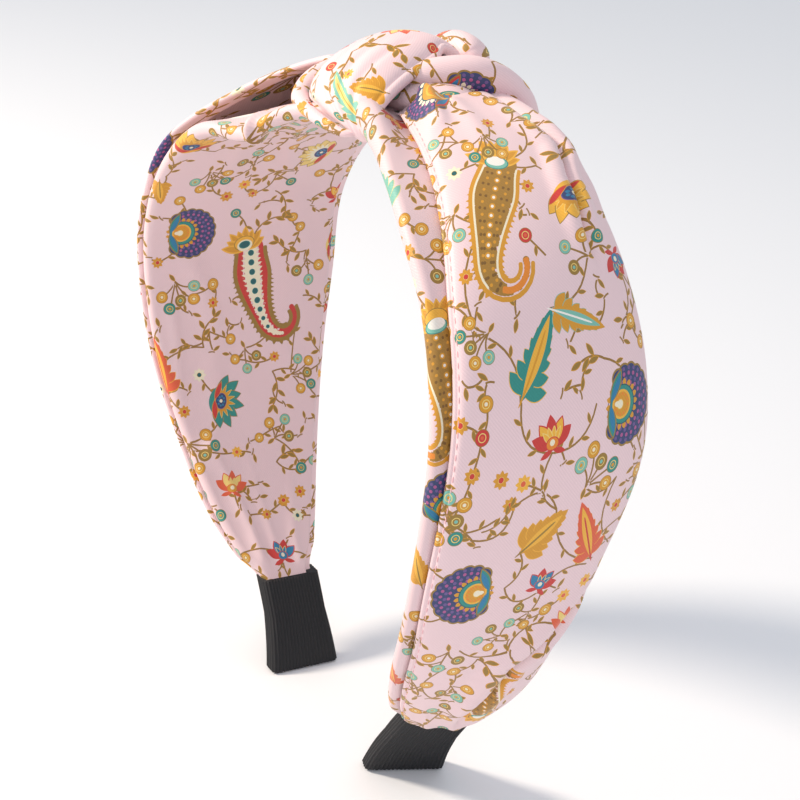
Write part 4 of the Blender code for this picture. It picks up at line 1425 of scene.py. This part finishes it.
def roll_grid(route, radii, rows, across, flat=1.0, pleats=()):
    """A roll of cloth on a route in millimetres; flat squashes it, and pleats are (count, depth, drift)."""
    path = smooth_route(route, rows)
    radius = smooth_route([(r, 0, 0) for r in radii], rows)[:, :1]
    run = np.gradient(path, axis=0)
    run = run / np.linalg.norm(run, axis=1, keepdims=True)
    side_way = np.cross(run, (0.0, 0.0, 1.0))
    side_way = side_way / np.linalg.norm(side_way, axis=1, keepdims=True)
    up = np.cross(side_way, run)
    a = np.linspace(0.0, 2 * pi, across)[None, :] + pi / 2
    t = np.linspace(0.0, 1.0, rows)[:, None]
    ripple = sum(depth * np.cos(count * (a + drift * t)) for count, depth, drift in pleats) if pleats else 0.0
    r = radius + ripple * smooth(4 * t) * smooth(4 * (1 - t))
    sideways = side_way[:, None] * (r * np.cos(a))[..., None]
    upward = up[:, None] * (flat * r * np.sin(a))[..., None]
    return (path[:, None] + sideways + upward) / 1000


def patch_grid(right, left, bulge, away, rows, across, pleats):
    """A broad fold between a right and a left edge route, in millimetres, bowed outward along `away`, its
    edges curled under. Pleats are (place at each end, half-width, depth, first, last)."""
    r = smooth_route(right, rows)[:, None]
    l = smooth_route(left, rows)[:, None]
    lift = smooth_route([(b, 0, 0) for b in bulge], rows)[:, :1]
    out = smooth_route(away, rows)
    out = (out / np.linalg.norm(out, axis=1, keepdims=True))[:, None]
    s = np.linspace(-0.14, 1.14, across)[None, :]
    inner = np.clip(s, 0.0, 1.0)
    wide = np.linalg.norm(l - r, axis=-1)
    t = np.linspace(0.0, 1.0, rows)[:, None]
    height = lift * np.sin(pi * inner) ** 0.62
    for ends, half, depth, first, last in pleats:
        centre = ends[0] + (ends[1] - ends[0]) * t
        strength = smooth((t - first) / 0.2) * smooth((last - t) / 0.2)
        height = height + depth * np.exp(-(((inner - centre) / half) ** 2)) * strength
    beyond = (np.maximum(-s, 0) + np.maximum(s - 1, 0)) * wide / CURL_RADIUS
    turn = np.minimum(beyond, CURL_MOST)
    side_step = CURL_RADIUS * np.sin(turn) * np.where(s < 0.5, -1, 1)
    height = height - CURL_RADIUS * (1 - np.cos(turn))
    unit = (l - r) / np.maximum(wide, 0.1)[..., None]
    points = r + (l - r) * inner[..., None] + unit * side_step[..., None] + out * height[..., None]
    return points / 1000


KNOT_MOTIFS = (
    ("amber flower", 393.6, 12.0, 60, 1.1),
    ("blue tulip", 400.0, 23.0, 150, 0.7),
    ("sea leaf", 380.0, 39.0, -135, 0.95),
    ("plain leaf", 376.0, 27.0, -60, 0.9),
    ("red star", 398.0, 17.7, 0, 0.8),
    ("red star", 386.0, 29.0, 0, 0.8),
    ("short sprig", 388.0, 36.0, -160, 0.8),
    ("gold fan", 470.5, 14.0, 40, 1.05),
    ("berry", 464.8, 22.0, 0),
    ("red flower", 518.0, 20.0, 60, 0.9),
    ("blue tulip", 522.5, 15.0, 150),
    ("star", 440.2, 18.5, 0),
    ("star", 441.5, 9.5, 0),
    ("plain leaf", 437.0, 31.0, 160, 0.7),
    ("fan", 600.0, 16.0, 40, 0.9),
    ("amber flower", 596.0, 32.0, 10, 0.9),
)
KNOT_PRINT = print_layout(KNOT_MOTIFS, (372.0, -6.0), (618.0, 48.0), 5)
KNOT_SATIN = satin_material("printed_satin_knot")

loop = patch_grid(
    right=[
        (0.5, 15.5, 151.0), (-1.5, 13.5, 158.5), (-3.2, 9.5, 161.2), (-1.0, 5.5, 159.6),
        (1.4, -2.0, 156.6), (3.4, -8.0, 153.0), (5.4, -11.6, 149.8), (6.6, -12.8, 146.4),
        (5.4, -12.0, 143.4),
    ],
    left=[
        (-24.0, 8.0, 148.0), (-23.6, 4.0, 151.5), (-22.6, -2.0, 153.6), (-20.6, -6.5, 153.6),
        (-20.4, -10.4, 150.2), (-16.6, -13.6, 148.0), (-9.6, -15.2, 147.4), (-2.2, -15.0, 146.0),
        (1.6, -12.6, 143.6),
    ],
    bulge=[1.0, 3.0, 4.2, 5.2, 5.6, 4.6, 2.6, 1.2, 0.4],
    away=[
        (0, 0.9, 0.5), (0, 0.6, 0.8), (-0.1, 0.1, 1), (0, -0.2, 1), (0, -0.5, 0.85), (0, -0.75, 0.66),
        (0.1, -0.95, 0.4), (0.1, -1, 0.1), (0.1, -0.8, -0.5),
    ],
    rows=150,
    across=170,
    pleats=[
        ((0.30, 0.45), 0.05, -0.5, 0.35, 1.0), ((0.62, 0.60), 0.06, -0.6, 0.3, 1.0),
        ((0.16, 0.25), 0.04, -0.35, 0.3, 0.95),
    ],
)
side_fold = roll_grid(
    [
        (-25.0, 4.0, 149.5), (-25.4, -3.0, 150.6), (-24.4, -9.0, 148.8), (-21.4, -13.4, 146.4),
        (-14.0, -16.2, 146.0), (-6.0, -17.0, 145.4), (1.0, -15.2, 144.4), (3.6, -11.6, 145.2),
    ],
    [2.4, 2.8, 2.6, 2.1, 1.6, 1.3, 0.9, 0.3],
    rows=130,
    across=40,
)
right_roll = roll_grid(
    [
        (-5.0, -1.0, 153.0), (-1.0, 2.0, 155.2), (1.4, 6.5, 156.2), (4.2, 13.0, 156.3),
        (5.8, 19.0, 154.2), (7.0, 23.4, 150.8), (7.6, 27.2, 146.0),
    ],
    [1.6, 2.6, 3.4, 4.0, 4.0, 3.5, 2.2],
    rows=110,
    across=72,
    pleats=((3, 0.22, 2.0), (2, 0.3, -1.0)),
)
back_roll = roll_grid(
    [
        (-24.0, 13.0, 146.5), (-18.0, 15.0, 152.0), (-10.0, 16.0, 157.0), (-4.0, 16.2, 158.4),
        (-0.8, 16.4, 157.6), (0.6, 16.5, 156.4),
    ],
    [3.0, 4.4, 4.8, 4.5, 3.6, 1.2],
    rows=100,
    across=72,
    pleats=((3, 0.25, 1.5),),
)
rear_wrap = roll_grid(
    [
        (-26.0, 15.0, 142.0), (-18.0, 19.0, 145.6), (-9.0, 20.5, 148.0), (0.0, 21.0, 148.6),
        (8.0, 21.0, 146.8), (14.0, 20.0, 143.6),
    ],
    [2.4, 3.6, 4.2, 4.2, 3.6, 2.2],
    rows=110,
    across=72,
    flat=1.25,
    pleats=((3, 0.3, 2.5), (5, 0.15, -2.0)),
)
filling = roll_grid(
    [(-20.0, 0.0, 146.0), (-12.0, 2.0, 149.5), (0.0, 4.0, 150.8), (6.0, 7.0, 151.4), (10.5, 9.0, 151.0)],
    [5.0, 6.5, 7.2, 6.6, 4.0],
    rows=70,
    across=80,
    flat=0.5,
)
# Name, points, turn and place on the print, the node it replaces, flat size and flat area.
KNOT_PIECES = (
    ("knot_loop", loop, 0.35, 400.0, "knot_wrap", (0.040, 0.048), 0.00155),
    ("knot_side_fold", side_fold, 0.2, 440.0, None, (0.012, 0.050), 0.00055),
    ("knot_right_roll", right_roll, 0.6, 480.0, "knot_roll", (0.022, 0.036), 0.00074),
    ("knot_back_roll", back_roll, 0.1, 520.0, "knot_back_fold", (0.026, 0.032), 0.00080),
    ("knot_rear_wrap", rear_wrap, 0.3, 600.0, None, (0.026, 0.044), 0.00110),
    ("knot_filling", filling, 0.0, 560.0, None, None, None),
)
for name, points, turn, x, node, flat, area in KNOT_PIECES:
    piece = grid_object(name, points, KNOT_SATIN)
    paint(piece, knot_layout(points, turn, x), KNOT_PRINT)
    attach(piece, "crown")
    if node:
        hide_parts(node)
